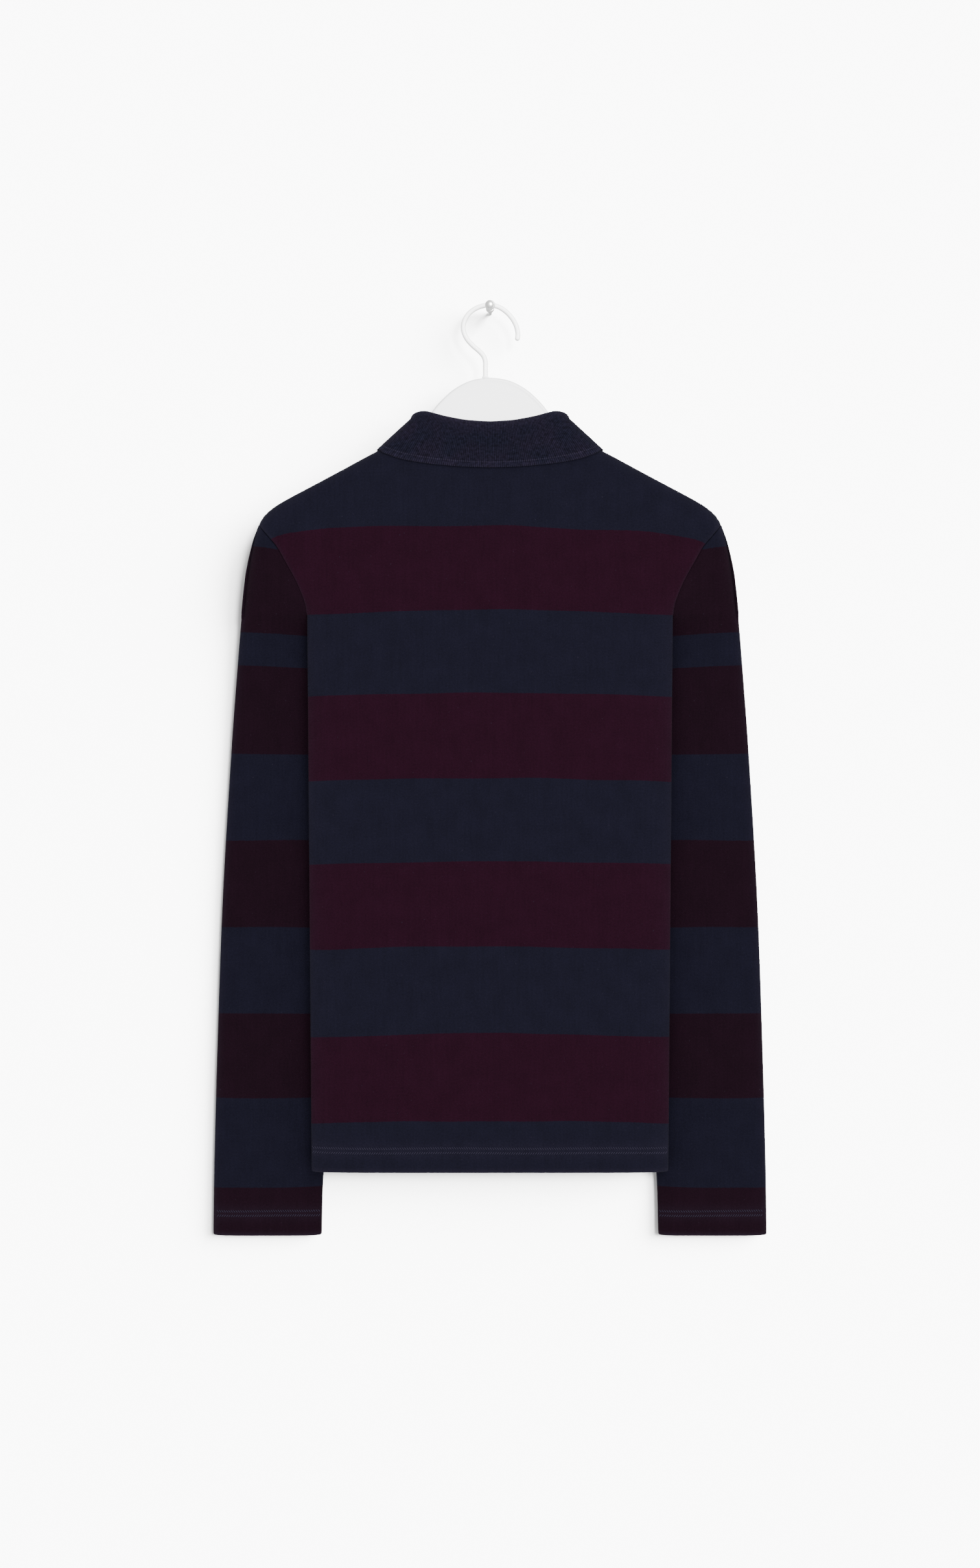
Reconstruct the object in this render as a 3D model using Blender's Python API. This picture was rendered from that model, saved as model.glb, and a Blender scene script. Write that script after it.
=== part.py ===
"""Long-sleeved polo shirt hanging flat on a plastic hanger, on a round-headed wall peg.

Metres, +Z up. The wall is the plane y = 0 and the shirt's back faces -Y. The origin is the
centre of the peg's flat back, on the wall. Garment heights are drops below the high shoulder
point, the place where the shoulder ridge meets the neck, as a tailor measures them.
"""
import math

import bmesh
import bpy
from mathutils import Vector

MM = 0.001

# Driving dimensions of the garment
SHOULDER_POINT_Z = -109 * MM
HANGER_PLANE_Y = -22 * MM
CLOTH = 1.4 * MM
RIB_CLOTH = 1.8 * MM
SEAM_GAP = 0.3 * MM
BODY_LENGTH = 639.8 * MM
BODY_HALF_DEPTH = 9.5 * MM
HEM_HALF_WIDTH = 155.1 * MM
UNDERARM_HALF_WIDTH = 159.0 * MM
UNDERARM_DROP = 157.4 * MM
SHOULDER_TIP_DROP = 80.6 * MM
NECK_HALF_WIDTH = 66 * MM
BACK_NECK_DROP = 12.5 * MM
FRONT_NECK_DROP = 62 * MM
NECK_CURVE = 2.2
NECK_SQUARENESS = 0.65
SIDE_ROUNDING = 8
RIDGE_ROUNDING = 12 * MM
RIDGE_START = (40 * MM, -30 * MM)
SLEEVE_HALF_DEPTH = 5 * MM
SLEEVE_CAP_FULLNESS = 1.3
SLEEVE_CAP_POWER = 1.8
SLEEVE_EDGE_ROUNDING = 6
SLEEVE_CLOSING_LENGTH = 50 * MM
SLEEVE_OPEN_DROP = 200 * MM
COLLAR_INSET = 1.6 * MM
COLLAR_LIFT = 1.6 * MM
COLLAR_SEAM_GAP = 0.4 * MM
COLLAR_STANDS_OUT = 1.3 * RIB_CLOTH
FOLD_HALF_WIDTH = 2.5 * MM
FOLD_HEIGHT = 3.0 * MM
SLEEVE_CLEARANCE = 0.9 * MM
WALL_CLEARANCE = 1.0 * MM
BODY_MARGIN = 1.5 * MM
SLEEVE_LENGTH_DROP = 696.5 * MM
SHARP_ANGLE = math.radians(40)

# Columns of a body panel inside the neck, as shares of the half width at the shoulder tip
NECK_COLUMNS = (0.14, 0.21, 0.28, 0.318)
OUTER_COLUMNS = 8
COLLAR_FALL_STEPS = 6

# Front opening and buttons
SLIT_HALF_WIDTH = 13 * MM
PLACKET_HALF_WIDTH = 15.5 * MM
SLIT_BOTTOM_DROP = 192 * MM
PLACKET_FOOT = 9 * MM
PLACKET_TOP_GAP = 1.5 * MM
BUTTON_COUNT = 3
FIRST_BUTTON_DROP = 80 * MM
BUTTON_PITCH = 45 * MM

# Section of a button from its back's centre round to its sunk middle, in millimetres: radius
# and distance from the back
BUTTON_PROFILE = (
    (0.0, 0.0),
    (4.5, 0.0),
    (5.5, 0.9),
    (5.3, 2.1),
    (4.4, 2.6),
    (3.2, 1.9),
    (0.0, 1.9),
)

# Hanger and peg
HOOK_PLANE_Y = -18 * MM
HOOK_ROD = 5 * MM
HOOK_RADIUS = 24.2 * MM
HOOK_CENTRE_X = 0.4 * MM
HOOK_NECK_X = -4.2 * MM
HOOK_LEAN_HEIGHT = 40 * MM
CROOK_START = 190.0
CROOK_END = -14.0
CROOK_STEPS = 15
PEG_STEM = 3.2 * MM
SEAT_GAP = 0.3 * MM
PLATE_HALF_THICKNESS = 2.2 * MM
PLATE_SQUARENESS = 0.35
ARM_HALF_THICKNESS = 4.5 * MM
ARM_HEIGHT = 13 * MM
ARM_TAPER = 0.02
ARM_UNDER_RIDGE = 2.1 * MM
SWELL_START = 72 * MM
SWELL_LENGTH = 36 * MM
HANGER_HALF_SPAN = 186 * MM
HANGER_END_ROUNDING = 8 * MM
HANGER_END_FACE = 1.5 * MM

# Section of the peg from its back on the wall to its head's crown, in millimetres: radius and
# distance from the wall
PEG_PROFILE = (
    (0.0, 0.0),
    (1.6, 0.0),
    (1.6, 21.4),
    (3.2, 21.5),
    (3.65, 21.9),
    (3.65, 26.2),
    (3.2, 26.7),
    (1.6, 26.9),
    (1.6, 36.5),
    (2.04, 36.75),
    (3.56, 37.68),
    (4.31, 38.98),
    (4.09, 40.43),
    (2.91, 41.63),
    (1.34, 42.25),
    (0.0, 42.4),
)

# Outline of the shoulder, seen from behind, in millimetres: half width and drop
SHOULDER_OUTLINE = (
    (66.0, 0.0),
    (96.3, 13.8),
    (130.8, 32.2),
    (152.0, 43.5),
    (173.3, 54.8),
    (186.0, 62.2),
    (193.0, 67.9),
    (197.8, 74.0),
    (200.9, 80.6),
)

# Armhole seam from the shoulder tip down to the underarm, in millimetres: drop and half width
ARMHOLE_SEAM = (
    (80.6, 200.3),
    (90.2, 192.0),
    (98.6, 184.8),
    (112.0, 177.0),
    (128.2, 168.0),
    (141.1, 162.4),
    (149.0, 159.9),
    (157.4, 159.0),
)

# Outer fold of the sleeve, in millimetres: drop, half width and depth coordinate
SLEEVE_OUTER_FOLD = (
    (80.6, 200.9, -22.0),
    (90.7, 204.2, -21.5),
    (101.9, 206.7, -20.5),
    (113.1, 208.8, -19.0),
    (135.5, 212.0, -16.5),
    (157.9, 214.4, -14.0),
    (202.7, 218.4, -10.5),
    (269.9, 223.6, -8.0),
    (404.3, 231.6, -7.0),
    (538.7, 236.4, -7.0),
    (639.5, 239.0, -7.0),
    (696.5, 239.8, -7.0),
)

# Inner edge of the sleeve below the underarm, hidden behind the body, same columns
SLEEVE_INNER_FOLD = (
    (157.4, 159.4, -22.0),
    (161.0, 160.2, -18.8),
    (166.0, 159.0, -14.8),
    (173.0, 155.0, -11.5),
    (190.0, 146.0, -9.0),
    (230.0, 131.0, -7.2),
    (290.0, 122.0, -7.0),
    (404.0, 122.0, -7.0),
    (520.0, 131.5, -7.0),
    (639.5, 145.0, -7.0),
    (696.5, 147.0, -7.0),
)

# Half width at which the body's section would close, above the underarm: drop, half width
ARMHOLE_SPREAD = (
    (80.6, 240.0),
    (98.6, 216.0),
    (112.0, 202.0),
    (128.2, 184.0),
    (141.1, 170.0),
    (149.0, 163.0),
    (157.4, 159.0),
)

# Collar strip from the back centre round to its front end, in millimetres but for facing,
# which is -1 on the back, 0 on the shoulder ridge and 1 on the front. Its seam follows the
# neck, its fold stands above that, and the outer edge of its fall lies on the body.
COLLAR_STATIONS = (
    # facing, seam x, fold x, fold depth, fold drop, edge x, edge drop
    (-1.0, 0.0, 0.0, 10.6, -9.6, 0.0, 29.4),
    (-1.0, 20.0, 20.0, 10.6, -10.8, 25.0, 28.4),
    (-1.0, 40.0, 40.0, 10.2, -14.6, 55.0, 25.0),
    (-1.0, 55.0, 55.0, 8.8, -18.6, 78.0, 20.6),
    (-1.0, 62.5, 63.5, 5.2, -18.0, 91.0, 17.4),
    (0.0, 66.3, 67.0, 0.0, -15.4, 96.5, 16.4),
    (1.0, 62.5, 64.5, 5.2, -8.0, 93.5, 22.0),
    (1.0, 54.0, 57.5, 9.0, 9.0, 87.0, 42.0),
    (1.0, 40.0, 43.5, 10.2, 29.0, 79.0, 68.0),
    (1.0, 26.0, 28.5, 10.5, 43.5, 69.0, 92.0),
    (1.0, 14.0, 15.0, 10.6, 52.5, 57.0, 112.0),
)

# Top edge of the hanger, in millimetres: half width and drop
HANGER_TOP = (
    (0.0, -49.2),
    (10.0, -48.2),
    (20.0, -45.4),
    (32.0, -38.6),
    (42.0, -29.6),
    (50.0, -20.0),
    (57.0, -7.5),
    (62.0, 2.4),
    (66.0, 5.8),
    (72.0, 7.2),
    (78.0, 8.6),
)

# Bottom edge of the hanger plate, in millimetres: half width and drop
HANGER_BOTTOM = (
    (0.0, 36.0),
    (30.0, 36.0),
    (55.0, 34.0),
    (75.0, 30.5),
    (95.0, 33.0),
)

# Places across the hanger where its section is drawn, in millimetres from its middle
HANGER_STATIONS = (10.0, 20.0, 32.0, 42.0, 50.0, 57.0, 62.0, 66.0, 72.0, 82.0, 96.0, 115.0,
                   135.0, 155.0, 172.0, 181.0, 185.0, 186.0)

# Hook between its foot on the plate and the round of the crook: x and z in millimetres
HOOK_NECK = (
    (-4.2, -50.0),
    (-5.4, -43.6),
    (-11.6, -36.6),
    (-18.4, -30.6),
)

# Heights of the sleeve's rows just below the underarm, drops in millimetres
UNDERARM_ROWS = (185.0, 176.0, 168.0, 162.0, 157.6)
ARMHOLE_ROWS = 12
LOWER_SLEEVE_ROWS = 12
LOWER_BODY_ROWS = 9
SLEEVE_COLUMNS = 8

COLOURS = {
    # node: red, green, blue, roughness, metallic
    "back": (0.018, 0.011, 0.020, 0.9, 0.0),
    "front": (0.018, 0.011, 0.020, 0.9, 0.0),
    "sleeve_left": (0.013, 0.010, 0.020, 0.9, 0.0),
    "sleeve_right": (0.013, 0.010, 0.020, 0.9, 0.0),
    "collar": (0.012, 0.012, 0.025, 0.9, 0.0),
    "placket_under": (0.011, 0.012, 0.025, 0.9, 0.0),
    "placket_upper": (0.011, 0.012, 0.025, 0.9, 0.0),
    "button": (0.02, 0.02, 0.035, 0.35, 0.0),
    "hanger": (0.62, 0.62, 0.63, 0.45, 0.0),
    "hanger_hook": (0.80, 0.80, 0.80, 0.4, 0.0),
    "wall_peg": (0.75, 0.75, 0.76, 0.25, 1.0),
}


def clear_scene():
    for item in list(bpy.data.objects):
        bpy.data.objects.remove(item, do_unlink=True)


def paint(item, kind):
    red, green, blue, roughness, metallic = COLOURS[kind]
    material = bpy.data.materials.new(kind + "_material")
    material.use_nodes = True
    shader = material.node_tree.nodes["Principled BSDF"]
    shader.inputs["Base Color"].default_value = (red, green, blue, 1.0)
    shader.inputs["Roughness"].default_value = roughness
    shader.inputs["Metallic"].default_value = metallic
    item.data.materials.append(material)


def smooth_along(rows, key):
    """Read a table at a value of its first column, on a smooth curve through its rows."""
    last = len(rows) - 1
    if key <= rows[0][0]:
        return list(rows[0][1:])
    if key >= rows[last][0]:
        return list(rows[last][1:])
    at = 0
    while rows[at + 1][0] < key:
        at += 1
    low, high = rows[at], rows[at + 1]
    before, after = rows[max(at - 1, 0)], rows[min(at + 2, last)]
    span = high[0] - low[0]
    t = (key - low[0]) / span
    values = []
    for column in range(1, len(low)):
        slope_low = (high[column] - before[column]) / (high[0] - before[0]) * span
        slope_high = (after[column] - low[column]) / (after[0] - low[0]) * span
        values.append((2 * t ** 3 - 3 * t ** 2 + 1) * low[column]
                      + (t ** 3 - 2 * t ** 2 + t) * slope_low
                      + (3 * t ** 2 - 2 * t ** 3) * high[column]
                      + (t ** 3 - t ** 2) * slope_high)
    return values


def in_metres(rows):
    return [tuple(value * MM for value in row) for row in rows]


OUTLINE = in_metres(SHOULDER_OUTLINE)
SEAM = in_metres(ARMHOLE_SEAM)
OUTER_FOLD = in_metres(SLEEVE_OUTER_FOLD)
INNER_FOLD = in_metres(SLEEVE_INNER_FOLD)
SPREAD = in_metres(ARMHOLE_SPREAD)
COLLAR_LINES = in_metres(COLLAR_STATIONS)
TOP_EDGE = in_metres(HANGER_TOP)
BOTTOM_EDGE = in_metres(HANGER_BOTTOM)


def height(drop):
    return SHOULDER_POINT_Z - drop


def mix(a, b, t):
    return a + (b - a) * t


def distance_to_outline(x, drop):
    """Shortest way from a place on the body to the shoulder's outline, seen from behind."""
    line = [RIDGE_START] + OUTLINE + [(row[1], row[0]) for row in OUTER_FOLD[1:6]]
    best = math.inf
    for (x0, d0), (x1, d1) in zip(line, line[1:]):
        run_x, run_d = x1 - x0, d1 - d0
        along = ((x - x0) * run_x + (drop - d0) * run_d) / (run_x ** 2 + run_d ** 2)
        along = min(max(along, 0.0), 1.0)
        best = min(best, math.hypot(x - x0 - along * run_x, drop - d0 - along * run_d))
    return best


def ridge_factor(x, drop):
    """0 on the shoulder ridge, 1 where the cloth has come round it."""
    share = min(distance_to_outline(x, drop) / RIDGE_ROUNDING, 1.0)
    return math.sqrt(1.0 - (1.0 - share) ** 2)


def body_half_width(drop):
    if drop >= UNDERARM_DROP:
        share = (drop - UNDERARM_DROP) / (BODY_LENGTH - UNDERARM_DROP)
        return mix(UNDERARM_HALF_WIDTH, HEM_HALF_WIDTH, share)
    return smooth_along(SPREAD, drop)[0]


def body_depth(x, drop):
    """How far the outer face of front or back lies from the hanger's plane."""
    share = min(abs(x) / body_half_width(drop), 1.0)
    side = math.sqrt(max(1.0 - share ** SIDE_ROUNDING, 0.0))
    ridge = ridge_factor(abs(x), drop) if drop < UNDERARM_DROP else 1.0
    return BODY_HALF_DEPTH * side * ridge


def body_point(x, drop, facing, lift=0.0):
    """A point on the body's outer face; facing is -1 on the back and 1 on the front."""
    out = max(body_depth(x, drop), SEAM_GAP / 2) + lift
    return Vector((x, HANGER_PLANE_Y + facing * out, height(drop)))


def body_normal(x, drop, facing):
    """Outward direction of the body's face, from how its depth changes about a point."""
    step = 0.5 * MM
    across = (body_depth(x + step, drop) - body_depth(x - step, drop)) / (2 * step)
    down = (body_depth(x, drop + step) - body_depth(x, drop - step)) / (2 * step)
    return Vector((-across, facing, down)).normalized()


def seam_half_width(drop):
    return smooth_along(SEAM, drop)[0]


def top_drop(x, neck_drop):
    """Drop of the panel's top edge: neck curve inside, shoulder ridge outside."""
    x = abs(x)
    if x < NECK_HALF_WIDTH:
        return neck_drop * (1.0 - (x / NECK_HALF_WIDTH) ** NECK_CURVE) ** NECK_SQUARENESS
    return smooth_along(OUTLINE, x)[0]


def row_stations(edge):
    """Places across half a panel: slit edge, neck, then closer together at the side."""
    neck_share = NECK_HALF_WIDTH / seam_half_width(SHOULDER_TIP_DROP)
    stations = [0.0, SLIT_HALF_WIDTH] + [edge * share for share in NECK_COLUMNS]
    for step in range(OUTER_COLUMNS + 1):
        turn = math.sin(math.pi / 2 * step / OUTER_COLUMNS)
        stations.append(edge * mix(neck_share, 1.0, turn))
    return [-x for x in reversed(stations[1:])] + stations


def cloth_wall(name, rows, thickness, closed_rows=0, skip=None, reverse=False, normals=None,
               limit=None):
    """A cloth wall: a sheet through rows of outer points, and its inner face behind it.

    The first closed_rows rows are rings. skip(row, column) leaves a cell out. normals gives
    some points, keyed by row and column, the direction of their neighbour across a seam, and
    limit keeps an inner point on its own side of a seam.
    """
    mesh = bmesh.new()
    grid = []
    for number, row in enumerate(rows):
        ring = number < closed_rows
        line = [mesh.verts.new(point) for point in (row[:-1] if ring else row)]
        grid.append(line + line[:1] if ring else line)
    for number, (low, high) in enumerate(zip(grid, grid[1:])):
        for column in range(len(low) - 1):
            if skip and skip(number, column):
                continue
            corners = [low[column], low[column + 1], high[-1]]
            if len(high) > 1:
                corners[2:] = [high[column + 1], high[column]]
            mesh.faces.new(reversed(corners) if reverse else corners)
    loose = [vert for vert in mesh.verts if not vert.link_faces]
    keyed = {grid[row][column]: normal for (row, column), normal in (normals or {}).items()
             if grid[row][column] not in loose}
    bmesh.ops.delete(mesh, geom=loose, context='VERTS')
    mesh.normal_update()
    outer_faces = list(mesh.faces)
    rim = [edge for edge in mesh.edges if len(edge.link_faces) == 1]
    rim_loops = [edge.link_loops[0] for edge in rim]
    rim_pairs = [(loop.vert, loop.link_loop_next.vert) for loop in rim_loops]
    inner = {}
    for vert in list(mesh.verts):
        place = vert.co - keyed.get(vert, vert.normal) * thickness
        inner[vert] = mesh.verts.new(limit(place) if limit else place)
    for face in outer_faces:
        mesh.faces.new([inner[vert] for vert in reversed(face.verts)])
    for first, second in rim_pairs:
        mesh.faces.new((second, first, inner[first], inner[second]))
    return finished(name, mesh)


def finished(name, mesh, kind=None, place=(0.0, 0.0, 0.0)):
    """Turn a bmesh into an object with its own material, smooth but for its edges."""
    data = bpy.data.meshes.new(name)
    mesh.to_mesh(data)
    mesh.free()
    item = bpy.data.objects.new(name, data)
    item.location = place
    bpy.context.collection.objects.link(item)
    data.shade_smooth()
    data.set_sharp_from_angle(angle=SHARP_ANGLE)
    paint(item, kind or name)
    return item


def ringed_solid(name, rings):
    """A solid through rings of points, closed by a face at each end."""
    mesh = bmesh.new()
    lines = [[mesh.verts.new(point) for point in ring] for ring in rings]
    for low, high in zip(lines, lines[1:]):
        for at in range(len(low)):
            after = (at + 1) % len(low)
            mesh.faces.new((low[at], low[after], high[after], high[at]))
    mesh.faces.new(list(reversed(lines[0])))
    mesh.faces.new(lines[-1])
    bmesh.ops.recalc_face_normals(mesh, faces=mesh.faces)
    return finished(name, mesh)


def armhole_share(step):
    """How far up the armhole a row of points lies, closer together at the shoulder tip."""
    return math.sin(math.pi / 2 * step / ARMHOLE_ROWS)


def body_panel(name, facing, neck_drop, slit):
    """Front or back, from hem to neck; the side seams lie on the side folds."""
    places = []
    for step in range(LOWER_BODY_ROWS):
        drop = mix(BODY_LENGTH, SLIT_BOTTOM_DROP, step / (LOWER_BODY_ROWS - 1))
        places.append([(x, drop) for x in row_stations(body_half_width(drop))])
    tops = row_stations(seam_half_width(SHOULDER_TIP_DROP))
    for step in range(ARMHOLE_ROWS + 1):
        share = armhole_share(step)
        edge = seam_half_width(mix(UNDERARM_DROP, SHOULDER_TIP_DROP, share))
        places.append([(x, mix(UNDERARM_DROP, top_drop(top_x, neck_drop), share))
                       for x, top_x in zip(row_stations(edge), tops)])
    rows = [[body_point(x, drop, facing) for x, drop in line] for line in places]
    normals = {(row, column): body_normal(x, drop, facing)
               for row, line in enumerate(places) for column, (x, drop) in enumerate(line)}
    middle = len(rows[0]) // 2

    def in_slit(row, column):
        return slit and row >= LOWER_BODY_ROWS - 1 and column in (middle - 1, middle)

    def own_side(point):
        reach = max(facing * (point.y - HANGER_PLANE_Y), SEAM_GAP / 2)
        return Vector((point.x, HANGER_PLANE_Y + facing * reach, point.z))

    return cloth_wall(name, rows, CLOTH, skip=in_slit, reverse=facing > 0, normals=normals,
                      limit=own_side)


def sleeve_row(drop, side):
    """Points round a sleeve at one height: near layer, outer fold, far layer."""
    outer_x, outer_y = smooth_along(OUTER_FOLD, drop)
    above = drop < UNDERARM_DROP
    closing = min(max((drop - UNDERARM_DROP) / SLEEVE_CLOSING_LENGTH, 0.0), 1.0)
    full_depth = SLEEVE_HALF_DEPTH * SLEEVE_CAP_FULLNESS
    if above:
        inner_x = seam_half_width(drop) + SEAM_GAP
        inner_y = HANGER_PLANE_Y
        seam_depth = body_depth(seam_half_width(drop), drop)
        smallest_share = 0.05
        seam_ridge = max(ridge_factor(seam_half_width(drop), drop), smallest_share)
        start_depth = seam_depth / seam_ridge
    else:
        inner_x, inner_y = smooth_along(INNER_FOLD, drop)
    near, far = [], []
    for step in range(SLEEVE_COLUMNS + 1):
        u = step / SLEEVE_COLUMNS
        open_share = 1.0 - (1.0 - u) ** SLEEVE_CAP_POWER
        closed_share = (1.0 - math.cos(math.pi * u)) / 2
        q = mix(open_share, closed_share, closing)
        x = mix(inner_x, outer_x, q)
        middle_y = mix(inner_y, outer_y, q)
        if above:
            rounding = ridge_factor(x, drop)
            if step == SLEEVE_COLUMNS:
                rounding = 0.0
            open_depth = mix(start_depth, full_depth, q) * rounding
        else:
            open_depth = full_depth * q * math.sqrt(1.0 - q ** SLEEVE_EDGE_ROUNDING)
        across = abs(2 * q - 1)
        closed_depth = SLEEVE_HALF_DEPTH * math.sqrt(1.0 - across ** SLEEVE_EDGE_ROUNDING)
        depth = mix(open_depth, closed_depth, closing)
        near_y = middle_y - depth
        if not above and x < body_half_width(drop) + BODY_MARGIN:
            behind = HANGER_PLANE_Y + body_depth(x, drop) + SLEEVE_CLEARANCE
            near_y = max(near_y, min(behind, middle_y))
        far_y = min(middle_y + depth, -WALL_CLEARANCE)
        near.append(Vector((side * x, near_y, height(drop))))
        far.append(Vector((side * x, far_y, height(drop))))
    return near + list(reversed(far[:-1]))


def sleeve(name, side):
    """Set-in sleeve: rings from the cuff to the underarm, then a cap open at its seam."""
    rows = []
    closer_above = 0.8
    for step in range(LOWER_SLEEVE_ROWS):
        share = (step / (LOWER_SLEEVE_ROWS - 1)) ** closer_above
        rows.append(sleeve_row(mix(SLEEVE_LENGTH_DROP, SLEEVE_OPEN_DROP, share), side))
    for drop in UNDERARM_ROWS:
        rows.append(sleeve_row(drop * MM, side))
    closed_rows = len(rows)
    normals = {}
    for step in range(1, ARMHOLE_ROWS):
        drop = mix(UNDERARM_DROP, SHOULDER_TIP_DROP, armhole_share(step))
        edge = side * seam_half_width(drop)
        row = sleeve_row(drop, side)
        normals[(len(rows), 0)] = body_normal(edge, drop, -1)
        normals[(len(rows), len(row) - 1)] = body_normal(edge, drop, 1)
        rows.append(row)
    tip_x, tip_drop = OUTLINE[-1]
    rows.append([Vector((side * tip_x, HANGER_PLANE_Y, height(tip_drop + SEAM_GAP)))])
    normals[(len(rows) - 1, 0)] = Vector((side * 0.8, 0.0, 0.6))
    return cloth_wall(name, rows, CLOTH, closed_rows, reverse=side < 0, normals=normals)


def clear_of_body(place, clear):
    """Move a point beside or above the body out until it is clear of the cloth's face."""
    x, drop = abs(place.x), SHOULDER_POINT_Z - place.z
    facing = math.copysign(1.0, place.y - HANGER_PLANE_Y)
    depth = abs(place.y - HANGER_PLANE_Y)
    ridge = top_drop(x, 0.0)
    if x < NECK_HALF_WIDTH or drop > ridge + 1.5 * RIDGE_ROUNDING:
        if drop > ridge:
            depth = max(depth, body_depth(x, drop) + clear)
        return Vector((place.x, HANGER_PLANE_Y + facing * depth, place.z))
    samples = 40
    rows = [ridge + 2 * RIDGE_ROUNDING * (sample / samples) ** 2 for sample in range(samples + 1)]
    profile = [(body_depth(x, row), row) for row in rows]
    gaps = [math.hypot(depth - face, drop - row) for face, row in profile]
    nearest = gaps.index(min(gaps))
    buried = drop > ridge and depth < body_depth(x, drop)
    if gaps[nearest] >= clear and not buried:
        return place
    before, after = profile[max(nearest - 1, 0)], profile[min(nearest + 1, samples)]
    out = Vector((0.0, after[1] - before[1], after[0] - before[0])).normalized() * clear
    face, face_drop = profile[nearest]
    return Vector((place.x, HANGER_PLANE_Y + facing * (face + out.y), height(face_drop) + out.z))


def cut_edge_drop(x, neck_drop):
    """Drop of a panel's top edge as it is cut, straight between its columns."""
    columns = [place for place in row_stations(seam_half_width(SHOULDER_TIP_DROP)) if place >= 0]
    for low, high in zip(columns, columns[1:]):
        if x <= high:
            share = (x - low) / (high - low)
            return mix(top_drop(low, neck_drop), top_drop(high, neck_drop), share)
    return top_drop(x, neck_drop)


def collar_column(side, facing, seam_x, fold_x, fold_depth, fold_drop, edge_x, edge_drop):
    """Points up the stand, over the fold and down the fall at one place along the collar."""
    neck_drop = BACK_NECK_DROP if facing < 0 else FRONT_NECK_DROP
    sideways = max(1.0 - abs(facing), (seam_x / NECK_HALF_WIDTH) ** 6)
    outer_x = min(seam_x + COLLAR_STANDS_OUT * sideways, NECK_HALF_WIDTH)
    seam_drop = cut_edge_drop(outer_x, neck_drop) - COLLAR_SEAM_GAP
    seam_depth = max(body_depth(seam_x, top_drop(seam_x, neck_drop)) - COLLAR_INSET, 0.0)
    seam = Vector((side * seam_x, HANGER_PLANE_Y + facing * seam_depth, height(seam_drop)))
    fold = Vector((side * fold_x, HANGER_PLANE_Y + facing * fold_depth, height(fold_drop)))
    edge_depth = body_depth(edge_x, edge_drop)
    edge = Vector((side * edge_x, HANGER_PLANE_Y + facing * edge_depth, height(edge_drop)))
    edge = clear_of_body(edge, RIB_CLOTH + COLLAR_LIFT)
    outward = Vector((side * sideways, facing, 0.0)).normalized() * FOLD_HALF_WIDTH
    below_fold = Vector((0.0, 0.0, -FOLD_HEIGHT))
    stand_top = fold - outward + below_fold
    fall_top = fold + outward + below_fold
    column = [seam, seam.lerp(stand_top, 0.5), stand_top]
    column += [fold - outward * 0.5, fold + outward * 0.5, fall_top]
    for step in range(1, COLLAR_FALL_STEPS):
        place = fall_top.lerp(edge, step / COLLAR_FALL_STEPS)
        column.append(clear_of_body(place, RIB_CLOTH + COLLAR_LIFT))
    return column + [edge]


def collar():
    """Flat-knit strip: stand up from the neck seam, folded over, fall down outside."""
    over_ridge_columns, other_columns = 4, 2
    keyed = [(float(at),) + (row[0] / MM,) + row[1:] for at, row in enumerate(COLLAR_LINES)]
    half = []
    for station in range(len(keyed) - 1):
        over_ridge = keyed[station][1] * keyed[station + 1][1] <= 0.0
        columns = over_ridge_columns if over_ridge else other_columns
        for column in range(columns):
            values = smooth_along(keyed, station + column / columns)
            values[0] = min(max(values[0], -1.0), 1.0)
            half.append(values)
    half.append(list(keyed[-1][1:]))
    columns = [collar_column(-1, *values) for values in reversed(half[1:])]
    columns += [collar_column(1, *values) for values in half]
    return cloth_wall("collar", columns, RIB_CLOTH)


def placket_strip(name, half_width, top, bottom, lift, thickness):
    """Straight strip of cloth lying on the front, lifted clear of what is under it."""
    rows = []
    steps = 10
    for step in range(steps + 1):
        share = step / steps
        line = []
        for across in (-1.0, -0.5, 0.0, 0.5, 1.0):
            x = across * half_width
            drop = mix(bottom, top, share)
            line.append(body_point(x, drop, 1, lift))
        rows.append(line)
    return cloth_wall(name, rows, thickness, reverse=True)


def button(name, drop, lift):
    """Round sewn button with a sunk middle, turned about its own axis."""
    seat = body_point(0.0, drop, 1, lift)
    return turned_object(name, in_metres(BUTTON_PROFILE), seat, "button")


def turned_object(name, profile, place, kind):
    """A turned solid whose axis runs along Y; profile is radius and distance along it."""
    steps = 16
    same_place = 0.001 * MM
    mesh = bmesh.new()
    verts = [mesh.verts.new((radius, along, 0.0)) for radius, along in profile]
    edges = [mesh.edges.new(pair) for pair in zip(verts, verts[1:])]
    bmesh.ops.spin(mesh, geom=verts + edges, cent=(0, 0, 0), axis=(0, 1, 0),
                   angle=2 * math.pi, steps=steps, use_merge=True)
    bmesh.ops.remove_doubles(mesh, verts=mesh.verts, dist=same_place)
    bmesh.ops.recalc_face_normals(mesh, faces=mesh.faces)
    return finished(name, mesh, kind, place)


def arm_top(x):
    """Drop of the hanger's top edge: the dome, then just under the shoulder ridge."""
    x = abs(x)
    under_ridge = smooth_along(OUTLINE, max(x, NECK_HALF_WIDTH))[0] + ARM_UNDER_RIDGE
    if x >= TOP_EDGE[-1][0]:
        return under_ridge
    return smooth_along(TOP_EDGE, x)[0]


def arm_bottom(x):
    """Drop of the hanger's bottom edge: the plate's, then a slowly narrowing arm's."""
    x = abs(x)
    if x >= BOTTOM_EDGE[-1][0]:
        return arm_top(x) + ARM_HEIGHT + (HANGER_HALF_SPAN - x) * ARM_TAPER
    return smooth_along(BOTTOM_EDGE, x)[0]


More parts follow.
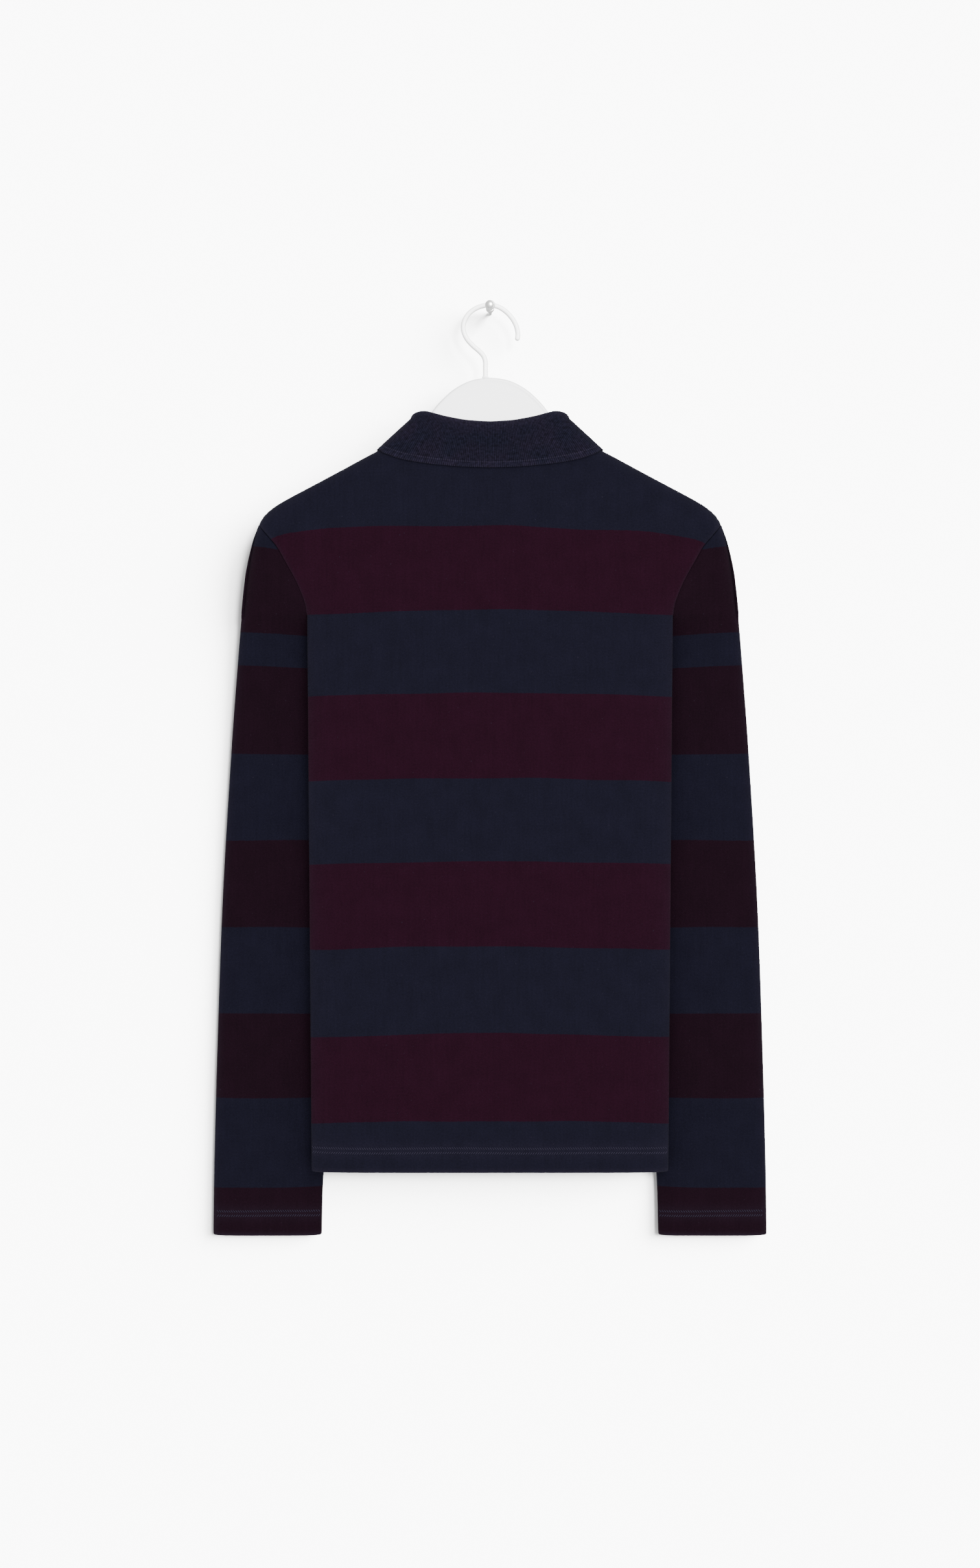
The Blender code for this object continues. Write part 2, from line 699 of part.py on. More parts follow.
def hanger():
    """Moulded hanger: a flat dome plate that thickens into two round arms."""
    right = [x * MM for x in HANGER_STATIONS]
    ring_points = 12
    rings = []
    for x in [-place for place in reversed(right)] + [0.0] + right:
        swell = min(max((abs(x) - SWELL_START) / SWELL_LENGTH, 0.0), 1.0)
        half_thickness = mix(PLATE_HALF_THICKNESS, ARM_HALF_THICKNESS, swell)
        to_end = HANGER_HALF_SPAN + HANGER_END_FACE - abs(x)
        end = min(to_end / HANGER_END_ROUNDING, 1.0)
        end = math.sqrt(1.0 - (1.0 - end) ** 2)
        top, bottom = arm_top(x), arm_bottom(x)
        middle, half_height = (top + bottom) / 2, (bottom - top) / 2 * end
        power = mix(PLATE_SQUARENESS, 1.0, swell)
        ring = []
        for step in range(ring_points):
            turn = 2 * math.pi * step / ring_points
            out = math.copysign(abs(math.cos(turn)) ** power, math.cos(turn))
            up = math.copysign(abs(math.sin(turn)) ** power, math.sin(turn))
            ring.append(Vector((x, HANGER_PLANE_Y + half_thickness * end * out,
                                height(middle - half_height * up))))
        rings.append(ring)
    return ringed_solid("hanger", rings)


def hanger_hook():
    """Round rod: a foot on the plate, a short neck, then a wide crook over the peg."""
    crook_top = PEG_STEM / 2 + SEAT_GAP + HOOK_ROD / 2
    centre_z = crook_top - HOOK_RADIUS
    foot_z = height(TOP_EDGE[0][1]) + SEAT_GAP
    route = []
    for x, z in [(HOOK_NECK_X, foot_z)] + in_metres(HOOK_NECK):
        share = min((z - foot_z) / HOOK_LEAN_HEIGHT, 1.0)
        route.append(Vector((x, mix(HANGER_PLANE_Y, HOOK_PLANE_Y, share), z)))
    for step in range(CROOK_STEPS + 1):
        turn = math.radians(mix(CROOK_START, CROOK_END, step / CROOK_STEPS))
        route.append(Vector((HOOK_CENTRE_X + HOOK_RADIUS * math.cos(turn), HOOK_PLANE_Y,
                             centre_z + HOOK_RADIUS * math.sin(turn))))
    ring_points = 8
    rings = []
    for at, place in enumerate(route):
        before, after = route[max(at - 1, 0)], route[min(at + 1, len(route) - 1)]
        along = (after - before).normalized()
        if at == 0:
            along = Vector((0.0, 0.0, 1.0))
        across = along.cross(Vector((0.0, 1.0, 0.0))).normalized()
        outward = across.cross(along)
        ring = []
        for step in range(ring_points):
            turn = 2 * math.pi * (step + 0.5) / ring_points
            ring.append(place + (across * math.cos(turn) + outward * math.sin(turn))
                        * HOOK_ROD / 2)
        rings.append(ring)
    return ringed_solid("hanger_hook", rings)


def wall_peg():
    """Turned steel peg: a stem out of the wall, a collar that keeps the hook on, a round head."""
    profile = [(radius, -out) for radius, out in in_metres(PEG_PROFILE)]
    return turned_object("wall_peg", profile, Vector((0.0, 0.0, 0.0)), "wall_peg")


def build():
    clear_scene()
    body_panel("back", -1, BACK_NECK_DROP, slit=False)
    body_panel("front", 1, FRONT_NECK_DROP, slit=True)
    sleeve("sleeve_left", -1)
    sleeve("sleeve_right", 1)
    collar()
    neck_edge = FRONT_NECK_DROP + PLACKET_TOP_GAP
    placket_strip("placket_under", SLIT_HALF_WIDTH - SEAM_GAP, neck_edge,
                  SLIT_BOTTOM_DROP - SEAM_GAP, 0.0, CLOTH)
    upper_lift = SEAM_GAP + CLOTH
    placket_strip("placket_upper", PLACKET_HALF_WIDTH, neck_edge,
                  SLIT_BOTTOM_DROP + PLACKET_FOOT, upper_lift, CLOTH)
    for number in range(BUTTON_COUNT):
        button("button_%d" % (number + 1), FIRST_BUTTON_DROP + number * BUTTON_PITCH,
               upper_lift + SEAM_GAP)
    hanger()
    hanger_hook()
    wall_peg()


build()
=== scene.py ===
"""Looks of a long-sleeved, wide-striped polo shirt on its hanger, seen from its back."""
import math

import bmesh
import bpy
import numpy as np
from mathutils import Matrix, Vector
from mathutils.bvhtree import BVHTree


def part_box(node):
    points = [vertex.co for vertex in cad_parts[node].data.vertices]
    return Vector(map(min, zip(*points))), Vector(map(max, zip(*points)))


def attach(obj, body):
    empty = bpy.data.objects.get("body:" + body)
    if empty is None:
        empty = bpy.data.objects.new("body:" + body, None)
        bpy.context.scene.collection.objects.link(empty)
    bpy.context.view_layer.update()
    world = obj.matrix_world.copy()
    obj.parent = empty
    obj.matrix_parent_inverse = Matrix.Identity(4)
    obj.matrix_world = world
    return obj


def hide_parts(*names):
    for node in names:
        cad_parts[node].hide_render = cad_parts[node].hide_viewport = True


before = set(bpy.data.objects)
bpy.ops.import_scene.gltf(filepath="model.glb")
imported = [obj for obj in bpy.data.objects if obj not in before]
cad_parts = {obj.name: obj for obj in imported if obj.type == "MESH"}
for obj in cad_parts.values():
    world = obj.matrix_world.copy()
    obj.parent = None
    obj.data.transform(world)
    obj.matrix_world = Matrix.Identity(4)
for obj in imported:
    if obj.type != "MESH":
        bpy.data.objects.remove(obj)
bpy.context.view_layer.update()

# Camera
# It looks straight at the shirt's back from about two metres, level with the middle of the
# picture, whose long side takes in 1355 mm at the back panel's face.
MM = 0.001
BACK_FACE_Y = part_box("back")[0].y
PICTURE_MIDDLE_Z = -412.5 * MM
PICTURE_HEIGHT = 1355 * MM
CAMERA_DISTANCE = 2100 * MM
SENSOR = 36.0
camera_data = bpy.data.cameras.new("camera")
camera_data.sensor_fit = 'AUTO'
camera_data.sensor_width = SENSOR
camera_data.lens = SENSOR * CAMERA_DISTANCE / PICTURE_HEIGHT
camera = bpy.data.objects.new("camera", camera_data)
camera.location = (0.0, BACK_FACE_Y - CAMERA_DISTANCE, PICTURE_MIDDLE_Z)
camera.rotation_euler = (math.pi / 2, 0.0, 0.0)
bpy.context.collection.objects.link(camera)
bpy.context.scene.camera = camera


# Room
# A plain pale wall carries the peg and a pale floor lies well below the sleeves. From behind,
# the wall is see-through, and it only catches shadows, so that it dims nothing in front of it.
WALL_SIZE = 9.0
FLOOR_Z = -1350 * MM
WALL_COLOUR = (0.86, 0.86, 0.86, 1.0)


def shader_node(tree, kind, inputs=None, **settings):
    """Add a node, give it its settings, and feed its inputs with values or other sockets."""
    node = tree.nodes.new(kind)
    for name, value in settings.items():
        setattr(node, name, value)
    for key, value in (inputs or {}).items():
        if isinstance(value, bpy.types.NodeSocket):
            tree.links.new(value, node.inputs[key])
        else:
            node.inputs[key].default_value = value
    return node


def new_material(name):
    material = bpy.data.materials.new(name)
    material.use_nodes = True
    material.node_tree.nodes.clear()
    return material, material.node_tree


def mesh_of(name, net):
    data = bpy.data.meshes.new(name)
    net.to_mesh(data)
    net.free()
    return data


def room_plane(name, place, turn, one_sided):
    plane = bmesh.new()
    bmesh.ops.create_grid(plane, x_segments=1, y_segments=1, size=WALL_SIZE / 2)
    data = mesh_of(name, plane)
    material, tree = new_material(name)
    matt = shader_node(tree, "ShaderNodeBsdfDiffuse", {"Color": WALL_COLOUR})
    shown = matt.outputs[0]
    if one_sided:
        side = shader_node(tree, "ShaderNodeNewGeometry").outputs["Backfacing"]
        clear = shader_node(tree, "ShaderNodeBsdfTransparent").outputs[0]
        shown = shader_node(tree, "ShaderNodeMixShader", {0: side, 1: shown, 2: clear}).outputs[0]
    shader_node(tree, "ShaderNodeOutputMaterial", {"Surface": shown})
    data.materials.append(material)
    plane_object = bpy.data.objects.new(name, data)
    plane_object.location = place
    plane_object.rotation_euler = turn
    plane_object.visible_diffuse = False
    plane_object.visible_glossy = False
    plane_object.visible_shadow = False
    bpy.context.collection.objects.link(plane_object)
    return plane_object


wall = room_plane("room_wall", (0.0, 0.2 * MM, PICTURE_MIDDLE_Z), (math.pi / 2, 0.0, 0.0), True)
floor = room_plane("room_floor", (0.0, 0.0, FLOOR_Z), (0.0, 0.0, 0.0), False)


# Light
# Soft studio light: an even pale surround, one large soft box from the upper right and one for
# the hidden side. Two brighter lights fall only on the wall, as on a cut-out's bright ground: a
# wide one throws the shirt's soft shadow and a narrow one the hook's.
SURROUND = 0.95
SURROUND_SEEN = 6.0
BOX_SIZE = 1.6
BOX_POWER = 26.0
KEY_PLACE = (1.1, -2.6, 0.9)
FAR_SIDE_PLACE = (-1.0, 2.6, 0.7)
WIDE_GROUND_LIGHT = 50.0
WIDE_DIRECTION = (1.7, -1.0, 0.8)
WIDE_SPREAD = math.radians(50)
NARROW_GROUND_LIGHT = 10.6
NARROW_DIRECTION = (0.4, -1.0, 0.28)
NARROW_SPREAD = math.radians(18)


def aimed_light(name, light_data, place, aim):
    light = bpy.data.objects.new(name, light_data)
    light.location = place
    light.rotation_euler = (Vector(aim) - Vector(place)).to_track_quat('-Z', 'Y').to_euler()
    bpy.context.collection.objects.link(light)
    return light


def soft_box(name, place, power):
    light_data = bpy.data.lights.new(name, 'AREA')
    light_data.shape = 'SQUARE'
    light_data.size = BOX_SIZE
    light_data.energy = power
    return aimed_light(name, light_data, place, (0.0, 0.0, PICTURE_MIDDLE_Z))


bright_things = bpy.data.collections.new("bright_things")
bright_things.objects.link(wall)
bright_things.objects.link(floor)
soft_box("key_box", KEY_PLACE, BOX_POWER)
soft_box("far_side_box", FAR_SIDE_PLACE, BOX_POWER)


def far_light(name, direction, strength, spread, lights_only):
    """A distant lamp that lights only the objects of one collection."""
    light_data = bpy.data.lights.new(name, 'SUN')
    light_data.energy = strength
    light_data.angle = spread
    light = aimed_light(name, light_data, direction, (0.0, 0.0, 0.0))
    light.light_linking.receiver_collection = lights_only


far_light("wide_ground_light", WIDE_DIRECTION, WIDE_GROUND_LIGHT, WIDE_SPREAD, bright_things)
far_light("narrow_ground_light", NARROW_DIRECTION, NARROW_GROUND_LIGHT, NARROW_SPREAD,
          bright_things)

world = bpy.data.worlds.new("surround")
world.use_nodes = True
world.node_tree.nodes.clear()
seen = shader_node(world.node_tree, "ShaderNodeLightPath").outputs["Is Camera Ray"]
lit = shader_node(world.node_tree, "ShaderNodeBackground", {"Strength": SURROUND})
pale = shader_node(world.node_tree, "ShaderNodeBackground", {"Strength": SURROUND_SEEN})
for backdrop in (lit, pale):
    backdrop.inputs["Color"].default_value = (1.0, 1.0, 1.0, 1.0)
blend = shader_node(world.node_tree, "ShaderNodeMixShader",
                    {0: seen, 1: lit.outputs[0], 2: pale.outputs[0]})
shader_node(world.node_tree, "ShaderNodeOutputWorld", {"Surface": blend.outputs[0]})
bpy.context.scene.world = world


# Back and front
# Two panels of brushed single jersey in wide navy and plum stripes, cut with the stripes level.
# They are joined along the shoulders and the sides, and the hem is turned up inside once.
SHOULDER_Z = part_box("back")[1].z
HANGER_PLANE_Y = (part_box("back")[1].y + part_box("front")[0].y) / 2
BODY_LENGTH = SHOULDER_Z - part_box("back")[0].z
BODY_HALF_DEPTH = HANGER_PLANE_Y - BACK_FACE_Y
JERSEY = 1.1 * MM
HEM_HALF_WIDTH = 155.1 * MM
UNDERARM_HALF_WIDTH = 159.0 * MM
UNDERARM_DROP = 157.4 * MM
SHOULDER_TIP_DROP = 80.6 * MM
NECK_HALF_WIDTH = 66.0 * MM
BACK_NECK_DROP = 12.5 * MM
FRONT_NECK_DROP = 62.0 * MM
SIDE_ROUNDING = 8
RIDGE_ROUNDING = 12 * MM
SEAM_GAP = 0.3 * MM
TURN_RADIUS = 1.25 * MM
HEM_TURNED_UP = 24 * MM
HEM_CORNER = 2.2 * MM
SLIT_HALF_WIDTH = 13.0 * MM
SLIT_BOTTOM_DROP = 192 * MM
SLEEVE_RIDGE_DROPS = (83 * MM, 158 * MM)

# Shoulder outline from behind: half width and drop below the high shoulder point, in mm
SHOULDER_OUTLINE = (
    (66.0, 0.0),
    (96.3, 13.8),
    (130.8, 32.2),
    (152.0, 43.5),
    (173.3, 54.8),
    (186.0, 62.2),
    (193.0, 67.9),
    (197.8, 74.0),
    (200.9, 80.6),
)
# Armhole seam: drop and half width, in mm
ARMHOLE_SEAM = (
    (80.6, 200.3),
    (90.2, 192.0),
    (98.6, 184.8),
    (112.0, 177.0),
    (128.2, 168.0),
    (141.1, 162.4),
    (149.0, 159.9),
    (157.4, 159.0),
)
# Half width at which the flattened body closes, above the underarm: drop and half width, in mm
BODY_SPREAD = (
    (80.6, 240.0),
    (98.6, 216.0),
    (112.0, 202.0),
    (128.2, 184.0),
    (141.1, 170.0),
    (149.0, 163.0),
    (157.4, 159.0),
)
# Outer fold of the sleeve, in mm: drop, half width and depth coordinate
SLEEVE_OUTER_FOLD = (
    (80.6, 200.9, -22.0),
    (90.7, 204.2, -21.5),
    (101.9, 206.7, -20.5),
    (113.1, 208.8, -19.0),
    (135.5, 212.0, -16.5),
    (157.9, 214.4, -14.0),
    (202.7, 218.4, -10.5),
    (269.9, 223.6, -8.0),
    (404.3, 231.6, -7.0),
    (538.7, 236.4, -7.0),
    (639.5, 239.0, -7.0),
    (696.5, 239.8, -7.0),
)


def curve_through(rows, column=1):
    """A smooth curve through a table's rows: its value at any place along the first column."""
    keys = [row[0] * MM for row in rows]
    values = [row[column] * MM for row in rows]
    last = len(rows) - 1
    samples_per_row = 40
    fine_keys, fine_values = [], []
    for at in range(last):
        before, after = max(at - 1, 0), min(at + 2, last)
        span = keys[at + 1] - keys[at]
        slope_low = (values[at + 1] - values[before]) / (keys[at + 1] - keys[before]) * span
        slope_high = (values[after] - values[at]) / (keys[after] - keys[at]) * span
        for sample in range(samples_per_row + (at == last - 1)):
            t = sample / samples_per_row
            fine_keys.append(keys[at] + span * t)
            fine_values.append((2 * t ** 3 - 3 * t ** 2 + 1) * values[at]
                               + (t ** 3 - 2 * t ** 2 + t) * slope_low
                               + (3 * t ** 2 - 2 * t ** 3) * values[at + 1]
                               + (t ** 3 - t ** 2) * slope_high)
    return lambda key: np.interp(key, fine_keys, fine_values)


shoulder_drop = curve_through(SHOULDER_OUTLINE)
armhole_half_width = curve_through(ARMHOLE_SEAM)
body_spread = curve_through(BODY_SPREAD)
outer_fold_x = curve_through(SLEEVE_OUTER_FOLD)
outer_fold_y = curve_through(SLEEVE_OUTER_FOLD, 2)


def blend_values(low, high, share):
    return low + (high - low) * share


def bell(distance, width):
    """1 at no distance, falling away smoothly over about two widths."""
    return np.exp(-(distance / width) ** 2)


def part_way(distance, length):
    """The share of a length that has been passed, from 0 to 1."""
    return np.clip(distance / length, 0.0, 1.0)


def eased(share):
    return share ** 2 * (3 - 2 * share)


def quarter_round(share):
    """Height of a rounded edge, of radius 1, at a share of its radius from the edge."""
    return np.sqrt(np.maximum(1.0 - (1.0 - share) ** 2, 0.0))


INSIDE_NECK = (NECK_HALF_WIDTH - 26 * MM, -30 * MM)
SHOULDER_TIP_X = SHOULDER_OUTLINE[-1][0] * MM
ridge_line = [INSIDE_NECK]
ridge_line += [(x, float(shoulder_drop(x)))
               for x in np.linspace(NECK_HALF_WIDTH, SHOULDER_TIP_X, 40)]
ridge_line += [(float(outer_fold_x(drop)), drop)
               for drop in np.linspace(*SLEEVE_RIDGE_DROPS, 20)]


def ridge_factor(x, drop):
    """0 on the shoulder ridge, 1 where the cloth has come round it."""
    nearest = np.full(np.shape(x), 1.0)
    for (x0, d0), (x1, d1) in zip(ridge_line, ridge_line[1:]):
        run_x, run_d = x1 - x0, d1 - d0
        along = ((x - x0) * run_x + (drop - d0) * run_d) / (run_x ** 2 + run_d ** 2)
        along = np.clip(along, 0.0, 1.0)
        gap = np.hypot(x - x0 - along * run_x, drop - d0 - along * run_d)
        nearest = np.minimum(nearest, gap)
    share = np.minimum(nearest / RIDGE_ROUNDING, 1.0)
    return quarter_round(share)


def body_half_width(drop):
    share = (drop - UNDERARM_DROP) / (BODY_LENGTH - UNDERARM_DROP)
    below = blend_values(UNDERARM_HALF_WIDTH, HEM_HALF_WIDTH, share)
    return np.where(drop >= UNDERARM_DROP, below, body_spread(drop))


def body_depth(x, drop):
    """How far the outer face of back or front lies from the hanger's plane."""
    share = np.minimum(np.abs(x) / body_half_width(drop), 1.0)
    side = np.sqrt(np.maximum(1.0 - share ** SIDE_ROUNDING, 0.0))
    ridge = np.where(drop < UNDERARM_DROP, ridge_factor(np.abs(x), drop), 1.0)
    return BODY_HALF_DEPTH * side * ridge


def neck_edge_drop(x, neck_drop):
    """Drop of a panel's top edge: the neck's curve inside, the shoulder's line outside."""
    inside = part_way(np.abs(x), NECK_HALF_WIDTH)
    neck = neck_drop * (1.0 - inside ** 2.2) ** 0.65
    return np.where(np.abs(x) < NECK_HALF_WIDTH, neck, shoulder_drop(np.abs(x)))


def hung_creases(x, drop, creases):
    """Soft troughs and ridges, as listed: how far each point stands proud of the cloth."""
    proud = np.zeros(np.shape(x))
    for start_x, start_drop, end_x, end_drop, width, rise in creases:
        run_x, run_d = (end_x - start_x) * MM, (end_drop - start_drop) * MM
        length = math.hypot(run_x, run_d)
        off_x, off_d = x - start_x * MM, drop - start_drop * MM
        along = (off_x * run_x + off_d * run_d) / length ** 2
        away = (off_x * run_d - off_d * run_x) / length
        fading = np.sin(math.pi * np.clip(along, 0.0, 1.0)) ** 2
        proud += rise * MM * fading * bell(away, width * MM)
    return proud


def cloth_sheet(name, across, down, place, outward=True):
    """A net of cloth: place() says where each of its points hangs, and where it was cut."""
    net = bmesh.new()
    bmesh.ops.create_grid(net, x_segments=across, y_segments=down, size=1.0)
    data = mesh_of(name, net)
    flat = np.empty(len(data.vertices) * 3)
    data.vertices.foreach_get("co", flat)
    u, v = (flat.reshape(-1, 3)[:, :2].T + 1.0) / 2
    points, cut, painted_light_and_wear = place(u, v)
    data.vertices.foreach_set("co", np.stack(points, axis=1).ravel())
    corners = np.empty(len(data.loops), dtype=np.int32)
    data.loops.foreach_get("vertex_index", corners)
    data.uv_layers.new(name="cut").uv.foreach_set("vector", np.stack(cut, axis=1)[corners].ravel())
    data.attributes.new("painted_light_and_wear", 'FLOAT', 'POINT').data.foreach_set("value", painted_light_and_wear)
    if not outward:
        data.flip_normals()
    data.update()
    return data


def finished_piece(name, data, material, merge=0.0):
    """Close a net's doubles, shade it smooth and let it ride with the part."""
    if merge:
        net = bmesh.new()
        net.from_mesh(data)
        bmesh.ops.remove_doubles(net, verts=net.verts, dist=merge)
        net.to_mesh(data)
        net.free()
    data.shade_smooth()
    data.materials.append(material)
    piece = bpy.data.objects.new(name, data)
    bpy.context.collection.objects.link(piece)
    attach(piece, "root")
    return piece


def thicken(piece, thickness, offset=-1.0):
    wall_of_cloth = piece.modifiers.new("cloth thickness", 'SOLIDIFY')
    wall_of_cloth.thickness = thickness
    wall_of_cloth.offset = offset
    wall_of_cloth.use_even_offset = False
    return wall_of_cloth


def thin_at_fold(piece, wall_of_cloth, depths):
    """Give the walls of two layers only the room there is between them where they meet."""
    group = piece.vertex_groups.new(name="room")
    for index, depth in enumerate(depths):
        room = depth / (5 * wall_of_cloth.thickness)
        group.add([index], min(max(room, 0.04), 1.0), 'REPLACE')
    wall_of_cloth.vertex_group = group.name


def depths_from_ridge(piece):
    return [abs(vertex.co.y - HANGER_PLANE_Y) for vertex in piece.data.vertices]


def shader_group(name, inputs, outputs):
    """An empty node group with named sockets, and its input and output nodes."""
    group = bpy.data.node_groups.new(name, 'ShaderNodeTree')
    for label, kind in inputs:
        group.interface.new_socket(label, in_out='INPUT', socket_type=kind)
    for label, kind in outputs:
        group.interface.new_socket(label, in_out='OUTPUT', socket_type=kind)
    return group, group.nodes.new("NodeGroupInput"), group.nodes.new("NodeGroupOutput")


def maths(tree, operation, first, second=0.0, third=0.0):
    inputs = {0: first, 1: second, 2: third}
    return shader_node(tree, "ShaderNodeMath", inputs, operation=operation).outputs[0]


def noise(tree, vector, scale, detail=2.0, roughness=0.5):
    inputs = {"Vector": vector, "Scale": scale, "Detail": detail, "Roughness": roughness}
    return shader_node(tree, "ShaderNodeTexNoise", inputs).outputs["Fac"]


def ramp(tree, value, low, high, to_low=0.0, to_high=1.0):
    """A value carried from one range over to another, and kept inside it."""
    inputs = {"Value": value, "From Min": low, "From Max": high, "To Min": to_low,
              "To Max": to_high}
    return shader_node(tree, "ShaderNodeMapRange", inputs).outputs[0]


def scaled_colour(tree, colour, light):
    inputs = {0: colour, "Scale": light}
    return shader_node(tree, "ShaderNodeVectorMath", inputs, operation='SCALE').outputs[0]


def mixed_colour(tree, share, first, second):
    inputs = {"Factor": share, 6: first, 7: second}
    return shader_node(tree, "ShaderNodeMix", inputs, data_type='RGBA').outputs[2]


def bump(tree, height, strength, distance):
    inputs = {"Height": height, "Strength": strength, "Distance": distance}
    return shader_node(tree, "ShaderNodeBump", inputs).outputs[0]


# Marks kept in the mesh: wear together with painted highlight on the cloth, and painted shade along
# the hanger's rim
def painted_light_and_wear_map(tree):
    return shader_node(tree, "ShaderNodeAttribute", attribute_name="painted_light_and_wear").outputs["Fac"]


def surface(tree, inputs):
    """Close a material with one principled surface."""
    shown = shader_node(tree, "ShaderNodeBsdfPrincipled", inputs)
    shader_node(tree, "ShaderNodeOutputMaterial", {"Surface": shown.outputs[0]})


def stretched(tree, vector, scale):
    inputs = {0: vector, 1: scale}
    return shader_node(tree, "ShaderNodeVectorMath", inputs, operation='MULTIPLY').outputs[0]


def brushed_knit_group():
    """Jersey in its own cut: V-shaped stitches in columns, under a short brushed nap.

    Tone wanders about 0.5 and lightens or darkens the yarn, with painted highlight on the stitches'
    crowns and painted shade between them; Height is for a bump.
    """
    group, given, out = shader_group(
        "brushed_knit",
        (("Cut", 'NodeSocketVector'), ("Column", 'NodeSocketFloat'), ("Course", 'NodeSocketFloat')),
        (("Tone", 'NodeSocketFloat'), ("Height", 'NodeSocketFloat')))
    cut, column, course = given.outputs["Cut"], given.outputs["Column"], given.outputs["Course"]
    place = shader_node(group, "ShaderNodeSeparateXYZ", {0: cut})
    half_column = maths(group, 'MULTIPLY', column, 0.5)
    from_groove = maths(group, 'PINGPONG', place.outputs["X"], half_column)
    crown = maths(group, 'DIVIDE', from_groove, half_column)
    slanted = maths(group, 'MULTIPLY_ADD', from_groove, 1.1, place.outputs["Y"])
    turns = maths(group, 'MULTIPLY', maths(group, 'DIVIDE', slanted, course), 2 * math.pi)
    legs = maths(group, 'MULTIPLY_ADD', maths(group, 'SINE', turns), 0.5, 0.5)
    stitches = maths(group, 'MULTIPLY', legs, maths(group, 'SQRT', crown))
    nap = noise(group, cut, 1500.0, 3.0, 0.7)
    speckle = noise(group, cut, 620.0, 2.0, 0.6)
    patches = noise(group, cut, 55.0, 3.0, 0.55)
    streaks = noise(group, stretched(group, cut, (420.0, 28.0, 1.0)), 1.0, 2.0, 0.5)
    tone = maths(group, 'MULTIPLY', speckle, 0.42)
    tone = maths(group, 'MULTIPLY_ADD', patches, 0.26, tone)
    tone = maths(group, 'MULTIPLY_ADD', streaks, 0.16, tone)
    # Painted highlight on the stitch crowns and painted shade in the grooves between columns
    tone = maths(group, 'MULTIPLY_ADD', stitches, 0.16, tone)
    height = maths(group, 'MULTIPLY_ADD', nap, 0.7, stitches)
    group.links.new(tone, out.inputs["Tone"])
    group.links.new(height, out.inputs["Height"])
    return group


brushed_knit = brushed_knit_group()

# Where the stripes change, as drops below the high shoulder point in mm; navy comes first
BODY_STRIPES = (80.0, 153.0, 224.5, 298.4, 370.2, 443.9, 519.1, 594.4)
BODY_NAVY = (0.0117, 0.0110, 0.0240, 1.0)
BODY_PLUM = (0.0246, 0.0040, 0.0144, 1.0)
# Pale yarn that worn places and painted highlights along seams, folds and stitching are mixed
# towards
WORN_AND_HIGHLIGHT = (0.045, 0.036, 0.062, 1.0)
WEAR_AND_HIGHLIGHT_SHARE = 0.35
JERSEY_COLUMN = 0.95 * MM
JERSEY_COURSE = 0.75 * MM
STRIPE_EDGE = 0.25 * MM


def striped_jersey(name, stripes, first_colour, second_colour):
    """Brushed jersey whose colour changes at the listed drops, lighter where it is worn and where
    highlight is painted along seams, folds and stitching.
    """
    material, tree = new_material(name)
    cut = shader_node(tree, "ShaderNodeUVMap", uv_map="cut").outputs[0]
    knit = shader_node(tree, "ShaderNodeGroup", node_tree=brushed_knit)
    tree.links.new(cut, knit.inputs["Cut"])
    knit.inputs["Column"].default_value = JERSEY_COLUMN
    knit.inputs["Course"].default_value = JERSEY_COURSE
    wander = noise(tree, cut, 9.0, 1.0)
    ragged = noise(tree, cut, 900.0, 1.0)
    down = shader_node(tree, "ShaderNodeSeparateXYZ", {0: cut}).outputs["Y"]
    down = maths(tree, 'MULTIPLY_ADD', maths(tree, 'SUBTRACT', wander, 0.5), 5.0 * MM, down)
    down = maths(tree, 'MULTIPLY_ADD', maths(tree, 'SUBTRACT', ragged, 0.5), 1.1 * MM, down)
    second = 0.0
    for drop in stripes:
        crossed = ramp(tree, down, drop * MM - STRIPE_EDGE, drop * MM + STRIPE_EDGE)
        second = maths(tree, 'ABSOLUTE', maths(tree, 'SUBTRACT', second, crossed))
    yarn = mixed_colour(tree, second, first_colour, second_colour)
    tone = knit.outputs["Tone"]
    toned = scaled_colour(tree, yarn, ramp(tree, tone, 0.32, 0.68, 0.74, 1.28))
    worn_and_highlit = maths(tree, 'MULTIPLY', painted_light_and_wear_map(tree), maths(tree, 'MULTIPLY', tone, WEAR_AND_HIGHLIGHT_SHARE * 2))
    lint = ramp(tree, noise(tree, cut, 520.0, 1.0, 0.3), 0.74, 0.84, 0.0, 0.35)
    surface(tree, {
        "Base Color": mixed_colour(tree, maths(tree, 'ADD', worn_and_highlit, lint), toned, WORN_AND_HIGHLIGHT),
        "Normal": bump(tree, knit.outputs["Height"], 0.5, 0.25 * MM), "Roughness": 0.92,
        "Specular IOR Level": 0.08, "Sheen Weight": 0.03, "Sheen Roughness": 0.5})
    return material


body_jersey = striped_jersey("body_jersey", BODY_STRIPES, BODY_NAVY, BODY_PLUM)

# Soft creases of the hanging cloth, in mm: start x, start drop, end x, end drop, width, rise
BACK_CREASES = (
    (-150.0, 120.0, -20.0, 330.0, 16.0, -0.35),
    (146.0, 128.0, 40.0, 300.0, 14.0, -0.30),
    (-172.0, 95.0, -60.0, 150.0, 13.0, 0.30),
    (168.0, 98.0, 84.0, 142.0, 12.0, 0.25),
    (-96.0, 640.0, -118.0, 470.0, 15.0, 0.40),
    (-30.0, 645.0, -14.0, 520.0, 20.0, -0.35),
    (52.0, 648.0, 44.0, 505.0, 17.0, 0.35),
    (118.0, 642.0, 134.0, 490.0, 13.0, -0.40),
    (-8.0, 30.0, 6.0, 170.0, 24.0, 0.25),
    (70.0, 240.0, 96.0, 430.0, 22.0, 0.25),
    (-82.0, 300.0, -52.0, 480.0, 24.0, -0.25),
)
